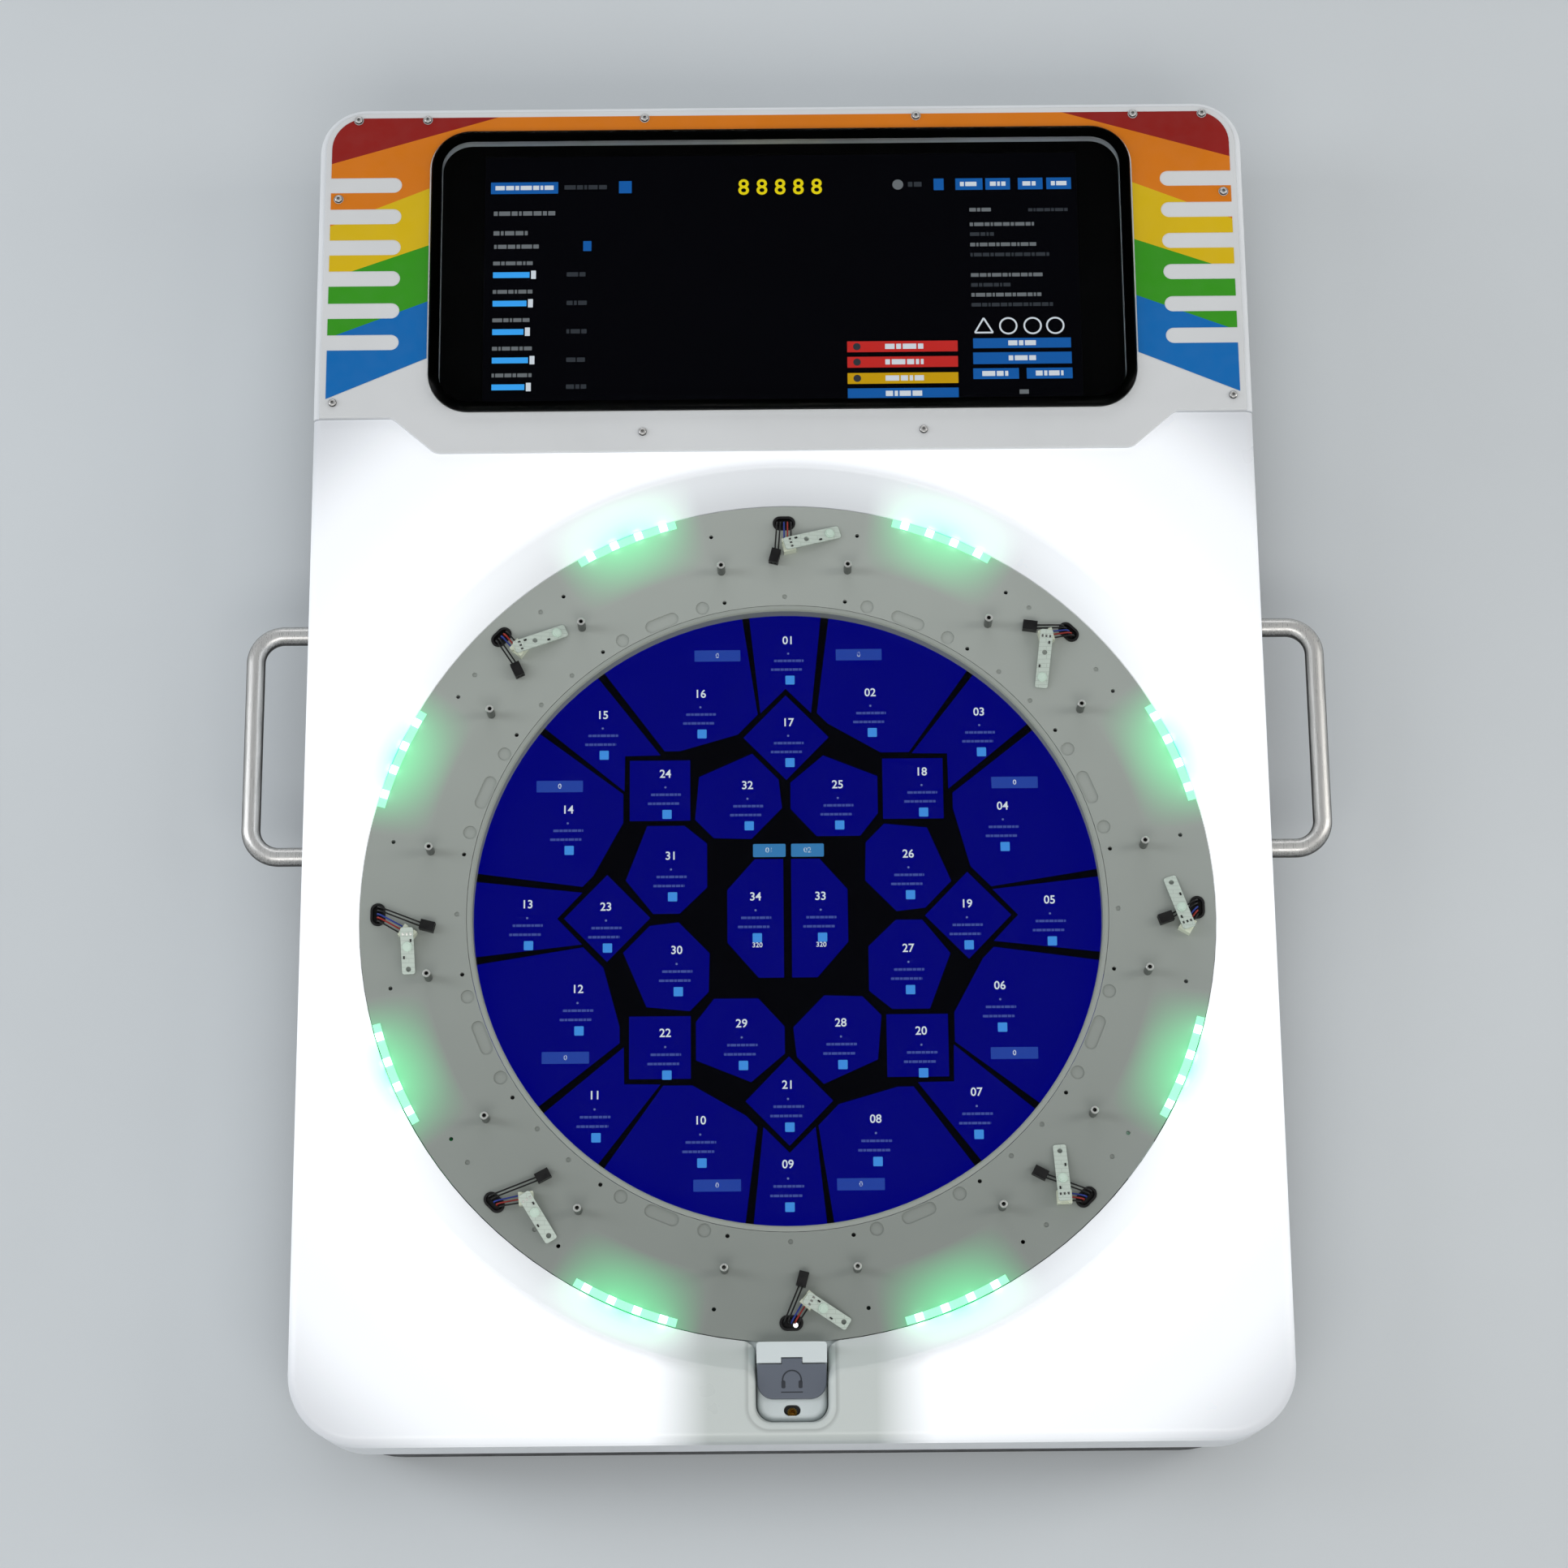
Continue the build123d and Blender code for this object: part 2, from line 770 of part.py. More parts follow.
with BuildPart() as ring_plate:
    with BuildSketch(ring_level(plate_level)):
        Circle(plate_radius)
        Circle(trim_radius + trim_clearance, mode=Mode.SUBTRACT)
        with Locations(*standoff_places):
            Circle(standoff_screw_radius + 2 * screw_clearance, mode=Mode.SUBTRACT)
        for side in (-1, 1):
            with Locations(*around(inner_hole_circle, side * hole_angle)):
                Circle(hole_radius, mode=Mode.SUBTRACT)
            with Locations(*around(outer_hole_circle, side * hole_angle)):
                Circle(hole_radius, mode=Mode.SUBTRACT)
        with PolarLocations(port_circle, stations):
            SlotOverall(port_length, port_width, rotation=90, mode=Mode.SUBTRACT)
    extrude(amount=plate_depth)
    # Shallow locating recesses for the buttons that the plate can carry.
    with BuildSketch(ring_level(plate_top)):
        with PolarLocations(rib_slot_circle, stations, station_step / 2):
            SlotOverall(rib_slot_length, rib_slot_width, rotation=90)
        for side in (-1, 1):
            with Locations(*around(rib_slot_circle + 0.7, side * rib_pad_angle, station_step / 2)):
                Circle(rib_pad_radius)
            for circle, angle in (diagonal_outer, diagonal_inner):
                with Locations(*around(circle, side * angle, station_step, 4, 90)):
                    Circle(dimple_hole_radius)
        with Locations(*around(205, 0, 0, 4, 90)):
            Circle(dimple_hole_radius)
    extrude(amount=-rib_depth, mode=Mode.SUBTRACT)
ring_plate.part.label = "ring_plate"
export_step(ring_plate.part, "parts/ring_plate.step")

with BuildPart() as screen_trim:
    with BuildSketch(ring_level(glass_level + glass_depth)):
        Circle(trim_radius)
        Circle(opening_radius, mode=Mode.SUBTRACT)
    extrude(amount=plate_top - glass_level - glass_depth)
    chamfer(screen_trim.faces().sort_by(Axis.Z)[-1].inner_wires()[0].edges(), 0.8)
screen_trim.part.label = "screen_trim"
export_step(screen_trim.part, "parts/screen_trim.step")

with BuildPart() as button_standoffs:
    for x, y in standoff_places:
        with BuildSketch(ring_level(plate_top)):
            with Locations((x, y)):
                Circle(standoff_radius)
        extrude(amount=standoff_height)
    chamfer(button_standoffs.faces().group_by(Axis.Z)[-1].edges(), 0.3)
    # Tapped from both ends: the fixing screw below, the button's screw above.
    with BuildSketch(ring_level(plate_top)):
        with Locations(*standoff_places):
            Circle(standoff_screw_radius + screw_clearance)
    extrude(amount=standoff_screw_grip + 2 * screw_clearance, mode=Mode.SUBTRACT)
    with BuildSketch(ring_level(plate_top + standoff_height)):
        with Locations(*standoff_places):
            Circle(standoff_bore)
    extrude(amount=-standoff_tap_depth, mode=Mode.SUBTRACT)
button_standoffs.part.label = "button_standoffs"
export_step(button_standoffs.part, "parts/button_standoffs.step")

with BuildPart() as standoff_screws:
    with BuildSketch(ring_level(plate_level)):
        with Locations(*standoff_places):
            Circle(standoff_screw_radius)
    extrude(amount=plate_depth + standoff_screw_grip)
    with BuildSketch(ring_level(plate_level - 2)):
        with Locations(*standoff_places):
            Circle(2.7)
            RegularPolygon(1.2, 6, mode=Mode.SUBTRACT)
    extrude(amount=2)
standoff_screws.part.label = "standoff_screws"
export_step(standoff_screws.part, "parts/standoff_screws.step")

with BuildPart() as port_grommets:
    with BuildSketch(ring_level(plate_level)):
        with PolarLocations(port_circle, stations):
            SlotOverall(port_length - 0.2, port_width - 0.2, rotation=90)
            SlotOverall(port_length - 2, port_width - 2, rotation=90, mode=Mode.SUBTRACT)
    extrude(amount=plate_depth)
    with BuildSketch(ring_level(plate_top)):
        with PolarLocations(port_circle, stations):
            SlotOverall(port_length + 0.8, port_width + 0.8, rotation=90)
            SlotOverall(port_length - 2, port_width - 2, rotation=90, mode=Mode.SUBTRACT)
    extrude(amount=0.8)
port_grommets.part.label = "port_grommets"
export_step(port_grommets.part, "parts/port_grommets.step")

with BuildPart() as port_sockets:
    # Headers under the plate whose tops fill the ports.
    with BuildSketch(ring_level(plate_level - socket_depth)):
        with PolarLocations(port_circle, stations):
            SlotOverall(port_length + 3, port_width + 3, rotation=90)
    extrude(amount=socket_depth)
    with BuildSketch(ring_level(plate_level)):
        with PolarLocations(port_circle, stations):
            SlotOverall(port_length - 2.6, port_width - 2.6, rotation=90)
    extrude(amount=1)
port_sockets.part.label = "port_sockets"
export_step(port_sockets.part, "parts/port_sockets.step")

# ---- Light clusters at the foot of the well ----
lights_per_cluster = 4
light_pitch = 16.67
light_circle = 263
light_angle = degrees(light_pitch / light_circle)
light_strip_depth = 0.8
light_size = 5
light_height = 1.6

with BuildPart() as ring_light_strips:
    half_span = light_angle * lights_per_cluster / 2
    for index in range(stations):
        middle = station_step * (index + 0.5)
        with BuildSketch(ring_level(plate_top)):
            with BuildLine():
                CenterArc((0, 0), light_circle - 2.7, middle - half_span, 2 * half_span)
                CenterArc((0, 0), light_circle + 2.3, middle - half_span, 2 * half_span)
                for end in (-half_span, half_span):
                    Line(
                        polar_to_point(light_circle - 2.7, middle + end),
                        polar_to_point(light_circle + 2.3, middle + end),
                    )
            make_face()
        extrude(amount=light_strip_depth)
ring_light_strips.part.label = "ring_light_strips"
export_step(ring_light_strips.part, "parts/ring_light_strips.step")

with BuildPart() as ring_lights:
    with BuildSketch(ring_level(plate_top + light_strip_depth)):
        for index in range(lights_per_cluster):
            offset_angle = (index - (lights_per_cluster - 1) / 2) * light_angle
            with PolarLocations(light_circle - 0.2, stations, station_step / 2 + offset_angle):
                Rectangle(light_size - 0.4, light_size)
    extrude(amount=light_height)
ring_lights.part.label = "ring_lights"
export_step(ring_lights.part, "parts/ring_lights.step")

# ---- Loose button harness: what is left on the plate with the buttons off ----
# For each port: its angle, the near and far ends of the lamp board, the plug, and
# whether the board's hole comes before its lamp. Places are from the ring's centre.
harness = [
    (90, (3, 238), (36, 248), (-6, 231), True),
    (45, (165, 176), (161, 142), (155, 183), True),
    (0, (247, -12), (237, 20), (234, -7), False),
    (315, (166, -180), (164, -147), (152, -165), False),
    (270, (11, -241), (35, -256), (7, -228), False),
    (225, (-160, -178), (-144, -204), (-150, -164), False),
    (180, (-235, -13), (-234, -39), (-223, -8), False),
    (135, (-168, 171), (-138, 184), (-169, 157), True),
]
header_top = plate_level + 1
lead_rise = plate_top + 5.5
lead_entry = plate_top + 3.5
board_overhang = 3
board_support = hypot(connector_length, connector_width) / 2
hole_place = 0.34
lamp_place = 0.8
lamp_radius = 2.9


def heading(start, end):
    """The bearing from one point to another, in degrees."""
    return degrees(atan2(end[1] - start[1], end[0] - start[0]))


def board_plane(near, far):
    """The upper face of a lamp board that leans from its connector down to the plate."""
    length = hypot(far[0] - near[0], far[1] - near[1])
    rise = connector_height * length / (length - board_support)
    forward = Vector(far[0] - near[0], far[1] - near[1], -rise).normalized()
    across = Vector(near[1] - far[1], far[0] - near[0], 0).normalized()
    upward = forward.cross(across)
    origin = Vector(near[0], near[1] + ring_y, plate_top + rise) + upward * board_depth
    return Plane(origin, x_dir=forward, z_dir=upward)


def board_length(near, far):
    return hypot(far[0] - near[0], far[1] - near[1])


def lead(port_angle, target, target_length, port_offset, end_offset):
    """One lead from its place in the port, over a bend, to the back of its housing."""
    port = polar_to_point(port_circle, port_angle)
    bearing = heading(port, target)
    tangent = polar_to_point(1, port_angle + 90)
    forward = polar_to_point(1, bearing)
    across = polar_to_point(1, bearing - 90)
    start_x = port[0] + tangent[0] * port_offset
    start_y = port[1] + tangent[1] * port_offset + ring_y
    end_x = target[0] - forward[0] * target_length / 2 + across[0] * end_offset
    end_y = target[1] - forward[1] * target_length / 2 + across[1] * end_offset + ring_y
    with BuildPart() as wire:
        with BuildLine() as route:
            FilletPolyline(
                (start_x, start_y, header_top),
                (start_x, start_y, lead_rise),
                (end_x, end_y, lead_entry),
                radius=lead_bend,
            )
        with BuildSketch(Plane(route.line @ 0, z_dir=route.line % 0)):
            Circle(lead_radius)
        sweep()
    return wire.part


def plug_side(port_angle, near, plug):
    """1 where the plug lies on the port's positive tangent side of its connector."""
    tangent = polar_to_point(1, port_angle + 90)
    return 1 if (plug[0] - near[0]) * tangent[0] + (plug[1] - near[1]) * tangent[1] > 0 else -1


with BuildPart() as lead_connectors:
    for port_angle, near, far, plug, hole_first in harness:
        bearing = heading(polar_to_point(port_circle, port_angle), near)
        with BuildSketch(ring_level(plate_top)):
            with Locations(Location((near[0], near[1], 0), (0, 0, bearing))):
                Rectangle(connector_length, connector_width)
        extrude(amount=connector_height)
        # A keyway across the housing's flanks.
        with BuildSketch(ring_level(plate_top + connector_height / 2)):
            with Locations(Location((near[0], near[1], 0), (0, 0, bearing))):
                with GridLocations(0, connector_width, 1, 2):
                    Rectangle(connector_length / 2, 1.2)
        extrude(amount=connector_height / 2, mode=Mode.SUBTRACT)
lead_connectors.part.label = "lead_connectors"
export_step(lead_connectors.part, "parts/lead_connectors.step")

with BuildPart() as loose_plugs:
    for port_angle, near, far, plug, hole_first in harness:
        bearing = heading(polar_to_point(port_circle, port_angle), plug)
        with BuildSketch(ring_level(plate_top)):
            with Locations(Location((plug[0], plug[1], 0), (0, 0, bearing))):
                Rectangle(plug_length, plug_width)
        extrude(amount=plug_height)
        forward = polar_to_point(1, bearing)
        front = (plug[0] + forward[0] * plug_length / 2, plug[1] + forward[1] * plug_length / 2)
        face = Plane(
            (front[0], front[1] + ring_y, plate_top + plug_height / 2),
            z_dir=(forward[0], forward[1], 0),
            x_dir=(-forward[1], forward[0], 0),
        )
        with BuildSketch(face):
            with GridLocations(2.54, 0, 2, 1):
                Rectangle(1.3, 1.6)
        extrude(amount=-5, mode=Mode.SUBTRACT)
loose_plugs.part.label = "loose_plugs"
export_step(loose_plugs.part, "parts/loose_plugs.step")

with BuildPart() as lamp_boards:
    for port_angle, near, far, plug, hole_first in harness:
        length = board_length(near, far)
        with BuildSketch(board_plane(near, far)):
            with Locations(((length - board_overhang) / 2, 0)):
                RectangleRounded(length + board_overhang, board_width, 1.5)
            with Locations((length * (hole_place if hole_first else lamp_place + 0.08), 0)):
                Circle(1.6, mode=Mode.SUBTRACT)
        extrude(amount=-board_depth)
lamp_boards.part.label = "lamp_boards"
export_step(lamp_boards.part, "parts/lamp_boards.step")

with BuildPart() as board_lamps:
    for port_angle, near, far, plug, hole_first in harness:
        length = board_length(near, far)
        with BuildSketch(board_plane(near, far)):
            with Locations((length * (lamp_place if hole_first else hole_place), 0)):
                Circle(lamp_radius)
        extrude(amount=0.9)
        with BuildSketch(board_plane(near, far).offset(0.9)):
            with Locations((length * (lamp_place if hole_first else hole_place), 0)):
                Circle(lamp_radius - 0.8)
        extrude(amount=0.4)
board_lamps.part.label = "board_lamps"
export_step(board_lamps.part, "parts/board_lamps.step")

with BuildPart() as leads_black:
    for port_angle, near, far, plug, hole_first in harness:
        side = plug_side(port_angle, near, plug)
        add(lead(port_angle, near, connector_length, -2 * side * lead_pitch, -side * lead_pitch))
        add(lead(port_angle, plug, plug_length, side * lead_pitch, -side * lead_pitch / 2))
        add(lead(port_angle, plug, plug_length, 2 * side * lead_pitch, side * lead_pitch / 2))
leads_black.part.label = "leads_black"
export_step(leads_black.part, "parts/leads_black.step")

with BuildPart() as leads_red:
    for port_angle, near, far, plug, hole_first in harness:
        side = plug_side(port_angle, near, plug)
        add(lead(port_angle, near, connector_length, -side * lead_pitch, 0))
leads_red.part.label = "leads_red"
export_step(leads_red.part, "parts/leads_red.step")

with BuildPart() as leads_blue:
    for port_angle, near, far, plug, hole_first in harness:
        side = plug_side(port_angle, near, plug)
        add(lead(port_angle, near, connector_length, 0, side * lead_pitch))
leads_blue.part.label = "leads_blue"
export_step(leads_blue.part, "parts/leads_blue.step")

# ---- Handles ----
handle_foot = body_side + flange_depth
handle_crown = body_side + handle_reach - handle_radius
handle_thread = 16
handle_low = handle_y - handle_span / 2
handle_high = handle_y + handle_span / 2


def handle(side):
    """A bent bar with a tapped hole in each foot."""
    with BuildPart() as bar:
        with BuildLine() as route:
            FilletPolyline(
                (side * handle_foot, handle_low, handle_level),
                (side * handle_crown, handle_low, handle_level),
                (side * handle_crown, handle_high, handle_level),
                (side * handle_foot, handle_high, handle_level),
                radius=handle_bend,
            )
        with BuildSketch(Plane(route.line @ 0, z_dir=route.line % 0)):
            Circle(handle_radius)
        sweep()
        with BuildSketch(Plane.YZ.offset(side * handle_foot)):
            with Locations((handle_low, handle_level), (handle_high, handle_level)):
                Circle(handle_screw_radius + screw_clearance)
        extrude(amount=side * handle_thread, mode=Mode.SUBTRACT)
    return bar.part


with BuildPart() as handle_left:
    add(handle(-1))
handle_left.part.label = "handle_left"
export_step(handle_left.part, "parts/handle_left.step")

with BuildPart() as handle_right:
    add(handle(1))
handle_right.part.label = "handle_right"
export_step(handle_right.part, "parts/handle_right.step")

with BuildPart() as handle_flanges:
    for side in (-1, 1):
        with BuildSketch(Plane.YZ.offset(side * body_side)):
            with Locations((handle_low, handle_level), (handle_high, handle_level)):
                Circle(flange_radius)
                Circle(handle_screw_radius + screw_clearance, mode=Mode.SUBTRACT)
        extrude(amount=side * flange_depth)
handle_flanges.part.label = "handle_flanges"
export_step(handle_flanges.part, "parts/handle_flanges.step")

with BuildPart() as handle_screws:
    rail_inner = body_side - rail_width
    for side in (-1, 1):
        with BuildSketch(Plane.YZ.offset(side * rail_inner)):
            with Locations((handle_low, handle_level), (handle_high, handle_level)):
                Circle(handle_screw_radius)
        extrude(amount=side * (rail_width + flange_depth + handle_thread - 2))
        with BuildSketch(Plane.YZ.offset(side * rail_inner)):
            with Locations((handle_low, handle_level), (handle_high, handle_level)):
                Circle(4.5)
        extrude(amount=-side * 4)
        with BuildSketch(Plane.YZ.offset(side * (rail_inner - 4))):
            with Locations((handle_low, handle_level), (handle_high, handle_level)):
                RegularPolygon(2.2, 6)
        extrude(amount=side * 2.5, mode=Mode.SUBTRACT)
handle_screws.part.label = "handle_screws"
export_step(handle_screws.part, "parts/handle_screws.step")

# ---- Headphone pod in the notch ----
seat_level = pod_top - flap_depth - contact_gap
ledge_y = -381.5
flap_half = pod_width / 2 - 0.3
hinge_level = pod_top - flap_depth / 2
knuckle_radius = flap_depth / 2
pocket_y = hinge_y + knuckle_radius + 0.4
recess_length = 10
recess_width = 6.4
recess_depth = 3
recess_y = -409.3
jack_top = seat_level - recess_depth + 0.6
jack_body_height = 12
jack_body_level = jack_top - jack_depth - jack_body_height

with BuildPart() as headphone_pod:
    pod_length = pod_start - pod_end
    with BuildSketch(level(pod_level)) as outline:
        with Locations((0, pod_end + pod_length / 2)):
            Rectangle(pod_width, pod_length)
        fillet(outline.vertices().group_by(Axis.Y)[0], pod_corner)
        fillet(outline.vertices().group_by(Axis.Y)[-1], 2)
    extrude(amount=pod_top - pod_level)
    # A flange under the cover's lip that closes the mouth of the notch.
    with BuildSketch(level(cover_level - contact_gap)):
        with Locations((0, pod_start + 6 - pod_flange_length / 2)):
            Rectangle(pod_flange, pod_flange_length)
    extrude(amount=-pod_flange_depth)
    # The seat under the flap and the lower chin.
    with BuildSketch(level(seat_level)):
        with Locations((0, (ledge_y + pod_end) / 2 - 1)):
            Rectangle(pod_width + 2, ledge_y - pod_end + 2)
    extrude(amount=pod_top - seat_level, mode=Mode.SUBTRACT)
    seat_edges = headphone_pod.edges().filter_by_position(Axis.Z, seat_level - 0.01, seat_level + 0.01)
    chin_edges = seat_edges.filter_by_position(Axis.Y, pod_end - 1, pod_end + pod_corner)
    fillet(chin_edges, 4)
    # The pocket for the flap's tab, and the hinge pin's seat.
    with BuildSketch(level(seat_level)):
        with Locations((0, (ledge_y + pocket_y) / 2)):
            Rectangle(tab_width + 0.8, pocket_y - ledge_y)
    extrude(amount=pod_top - seat_level, mode=Mode.SUBTRACT)
    with BuildSketch(Plane.YZ):
        with Locations((hinge_y, hinge_level)):
            Circle(hinge_radius)
    extrude(amount=tab_width / 2 + 4, both=True, mode=Mode.SUBTRACT)
    # The recess and the bore that hold the jack.
    with BuildSketch(level(seat_level)):
        with Locations((0, recess_y)):
            SlotOverall(recess_length, recess_width)
    extrude(amount=-recess_depth, mode=Mode.SUBTRACT)
    with BuildSketch(level(jack_top)):
        with Locations((0, jack_y)):
            Circle(jack_radius + 0.1)
    extrude(amount=-jack_depth, mode=Mode.SUBTRACT)
    with BuildSketch(level(pod_level)):
        with Locations((0, jack_y + 1)):
            Rectangle(12.4, 8.4)
    extrude(amount=jack_top - jack_depth - pod_level, mode=Mode.SUBTRACT)
headphone_pod.part.label = "headphone_pod"
export_step(headphone_pod.part, "parts/headphone_pod.step")

with BuildPart() as headphone_flap:
    with BuildSketch(level(pod_top - flap_depth)) as outline:
        with Locations((0, (flap_start + flap_end) / 2)):
            Rectangle(2 * flap_half, flap_start - flap_end)
        fillet(outline.vertices().group_by(Axis.Y)[0], pod_corner - 0.3)
    extrude(amount=flap_depth)
    lower_rim = headphone_flap.faces().sort_by(Axis.Z)[-1].edges().sort_by(Axis.Y)[:-1]
    fillet(lower_rim, 0.8)
    with BuildSketch(level(pod_top - flap_depth)):
        with Locations((0, (flap_start + hinge_y) / 2 - 0.5)):
            Rectangle(tab_width, hinge_y - flap_start + 1)
    extrude(amount=flap_depth)
    with BuildSketch(Plane.YZ):
        with Locations((hinge_y, hinge_level)):
            Circle(knuckle_radius)
    extrude(amount=tab_width / 2, both=True)
    with BuildSketch(Plane.YZ):
        with Locations((hinge_y, hinge_level)):
            Circle(hinge_radius + hinge_clearance)
    extrude(amount=tab_width / 2, both=True, mode=Mode.SUBTRACT)
headphone_flap.part.label = "headphone_flap"
export_step(headphone_flap.part, "parts/headphone_flap.step")

with BuildPart() as flap_pin:
    with BuildSketch(Plane.YZ):
        with Locations((hinge_y, hinge_level)):
            Circle(hinge_radius)
    extrude(amount=tab_width / 2 + 4, both=True)
flap_pin.part.label = "flap_pin"
export_step(flap_pin.part, "parts/flap_pin.step")

with BuildPart() as headphone_jack:
    with BuildSketch(level(jack_top)):
        with Locations((0, jack_y)):
            Circle(jack_radius)
    extrude(amount=-jack_depth)
    with BuildSketch(level(jack_body_level)):
        with Locations((0, jack_y + 1)):
            Rectangle(12, 8)
    extrude(amount=jack_body_height)
    with BuildSketch(level(jack_top)):
        with Locations((0, jack_y)):
            Circle(jack_bore)
    extrude(amount=-jack_depth, mode=Mode.SUBTRACT)
headphone_jack.part.label = "headphone_jack"
export_step(headphone_jack.part, "parts/headphone_jack.step")

with BuildPart() as pod_bracket:
    # A box column from the tray floor up to the pod's base.
    column_y = pod_end + pod_length / 2
    with BuildSketch(level(tray_floor)):
        with Locations((0, column_y)):
            Rectangle(52, 30)
    extrude(amount=2)
    with BuildSketch(level(tray_floor)):
        with Locations((0, column_y)):
            Rectangle(34, 30)
    extrude(amount=pod_level - tray_floor)
    with BuildSketch(Plane.XZ.offset(-column_y)):
        with Locations((0, (tray_floor + pod_level) / 2)):
            Rectangle(30, pod_level - tray_floor - 4)
    extrude(amount=20, both=True, mode=Mode.SUBTRACT)
    with BuildSketch(level(pod_level - 2)):
        with Locations((0, jack_y + 1)):
            Rectangle(14, 12)
    extrude(amount=2, mode=Mode.SUBTRACT)
pod_bracket.part.label = "pod_bracket"
export_step(pod_bracket.part, "parts/pod_bracket.step")

# ---- Lights inside the body that make the cover glow ----
strip_sheet = 1
strip_width = 10
strip_level = frame_level + 30
strip_length = 560
strip_y = -90
body_light_count = 28
body_light_pitch = 20
rail_face = body_side - rail_width

with BuildPart() as body_lights:
    for side in (-1, 1):
        with BuildSketch(Plane.YZ.offset(side * rail_face)):
            with Locations((strip_y, strip_level + strip_width / 2)):
                Rectangle(strip_length, strip_width)
        extrude(amount=-side * strip_sheet)
        with BuildSketch(Plane.YZ.offset(side * (rail_face - strip_sheet))):
            with Locations((strip_y, strip_level + strip_width / 2)):
                with GridLocations(body_light_pitch, 0, body_light_count, 1):
                    Rectangle(light_size, light_size)
        extrude(amount=-side * light_height)
body_lights.part.label = "body_lights"
export_step(body_lights.part, "parts/body_lights.step")

# ---- Electronics on the tray floor ----
board_top = tray_floor + spacer_height + board_sheet
main_board_place = (-175, -225)
main_board_size = (150, 105)
touch_board_place = (0, -255)
touch_board_size = (90, 60)
display_board_place = (90, 397)
display_board_size = (130, 64)
boards = [
    (main_board_place, main_board_size),
    (touch_board_place, touch_board_size),
    (display_board_place, display_board_size),
]


def board_corners(place, size):
    """The four spacer places of a board, 5 mm in from its edges."""
    x, y = place
    half_x = size[0] / 2 - 5
    half_y = size[1] / 2 - 5
    return [(x + i * half_x, y + j * half_y) for i in (-1, 1) for j in (-1, 1)]


with BuildPart() as circuit_boards:
    for place, size in boards:
        with BuildSketch(level(tray_floor + spacer_height)):
            with Locations(place):
                Rectangle(*size)
            with Locations(*board_corners(place, size)):
                Circle(1.6, mode=Mode.SUBTRACT)
        extrude(amount=board_sheet)
circuit_boards.part.label = "circuit_boards"
export_step(circuit_boards.part, "parts/circuit_boards.step")

insert_bore = 1.6
with BuildPart() as tray_inserts:
    # Pressed nuts behind the mounting holes, and the spacers under the boards.
    with BuildSketch(level(tray_floor)):
        with GridLocations(mount_spacing, mount_spacing, 2, 2):
            RegularPolygon(6.5, 6)
            Circle(mount_hole, mode=Mode.SUBTRACT)
    extrude(amount=7)
    with BuildSketch(level(tray_floor)):
        for place, size in boards:
            for corner in board_corners(place, size):
                with Locations(corner):
                    RegularPolygon(3.2, 6)
                    Circle(insert_bore, mode=Mode.SUBTRACT)
    extrude(amount=spacer_height)
tray_inserts.part.label = "tray_inserts"
export_step(tray_inserts.part, "parts/tray_inserts.step")

chip_height = 1.8
socket_block_height = 8
with BuildPart() as board_parts:
    # Chips on every board, and rows of lead sockets on the two lower ones.
    for place, size in boards:
        x, y = place
        with BuildSketch(level(board_top)):
            with Locations((x - size[0] / 5, y - 4), (x + size[0] / 8, y - 8)):
                Rectangle(16, 16)
            with Locations((x + size[0] / 3, y)):
                Rectangle(8, 12)
        extrude(amount=chip_height)
    for place, size in (boards[0], boards[1]):
        x, y = place
        with BuildSketch(level(board_top)):
            with Locations((x, y + size[1] / 2 - 5)):
                with GridLocations(16, 0, 4, 1):
                    Rectangle(12, 6)
        extrude(amount=socket_block_height)
        with BuildSketch(level(board_top + socket_block_height)):
            with Locations((x, y + size[1] / 2 - 5)):
                with GridLocations(16, 0, 4, 1):
                    Rectangle(10, 4)
        extrude(amount=-5, mode=Mode.SUBTRACT)
board_parts.part.label = "board_parts"
export_step(board_parts.part, "parts/board_parts.step")

supply_place = (180, -225)
supply_width = 95
supply_length = 160
supply_height = 29
with BuildPart() as power_supply:
    with BuildSketch(level(tray_floor)):
        with Locations(supply_place):
            Rectangle(supply_width, supply_length)
    extrude(amount=supply_height)
    with BuildSketch(level(tray_floor + supply_height)):
        with Locations(supply_place):
            with GridLocations(12, 12, 6, 8):
                Circle(3)
    extrude(amount=-1.2, mode=Mode.SUBTRACT)
power_supply.part.label = "power_supply"
export_step(power_supply.part, "parts/power_supply.step")

speaker_width = 130
speaker_length = 60
speaker_height = 27
driver_radius = 22


driver_recess = 6
cone_depth = 4

with BuildPart() as speakers:
    # Two boxes that fire down through the tray's slots, each with its cone.
    with BuildSketch(level(tray_floor)):
        with Locations(*speaker_places):
            RectangleRounded(speaker_width, speaker_length, 6)
            Circle(driver_radius, mode=Mode.SUBTRACT)
    extrude(amount=driver_recess)
    with BuildSketch(level(tray_floor + driver_recess)):
        with Locations(*speaker_places):
            RectangleRounded(speaker_width, speaker_length, 6)
    extrude(amount=speaker_height - driver_recess)
    for x, y in speaker_places:
        with BuildSketch(level(tray_floor + driver_recess - cone_depth)):
            with Locations((x, y)):
                Circle(driver_radius - 8)
        extrude(amount=cone_depth, taper=-45)
speakers.part.label = "speakers"
export_step(speakers.part, "parts/speakers.step")

# ---- Cooling fans ----
fan_hub_radius = 17
fan_pin_radius = 2
fan_motor_height = 4
fan_blades = 7
fan_gap = 1
fan_running = 0.08
fan_tip = fan_bore - fan_gap
rotor_level = tray_floor + fan_motor_height + fan_gap
rotor_height = fan_depth - fan_motor_height - 2 * fan_gap

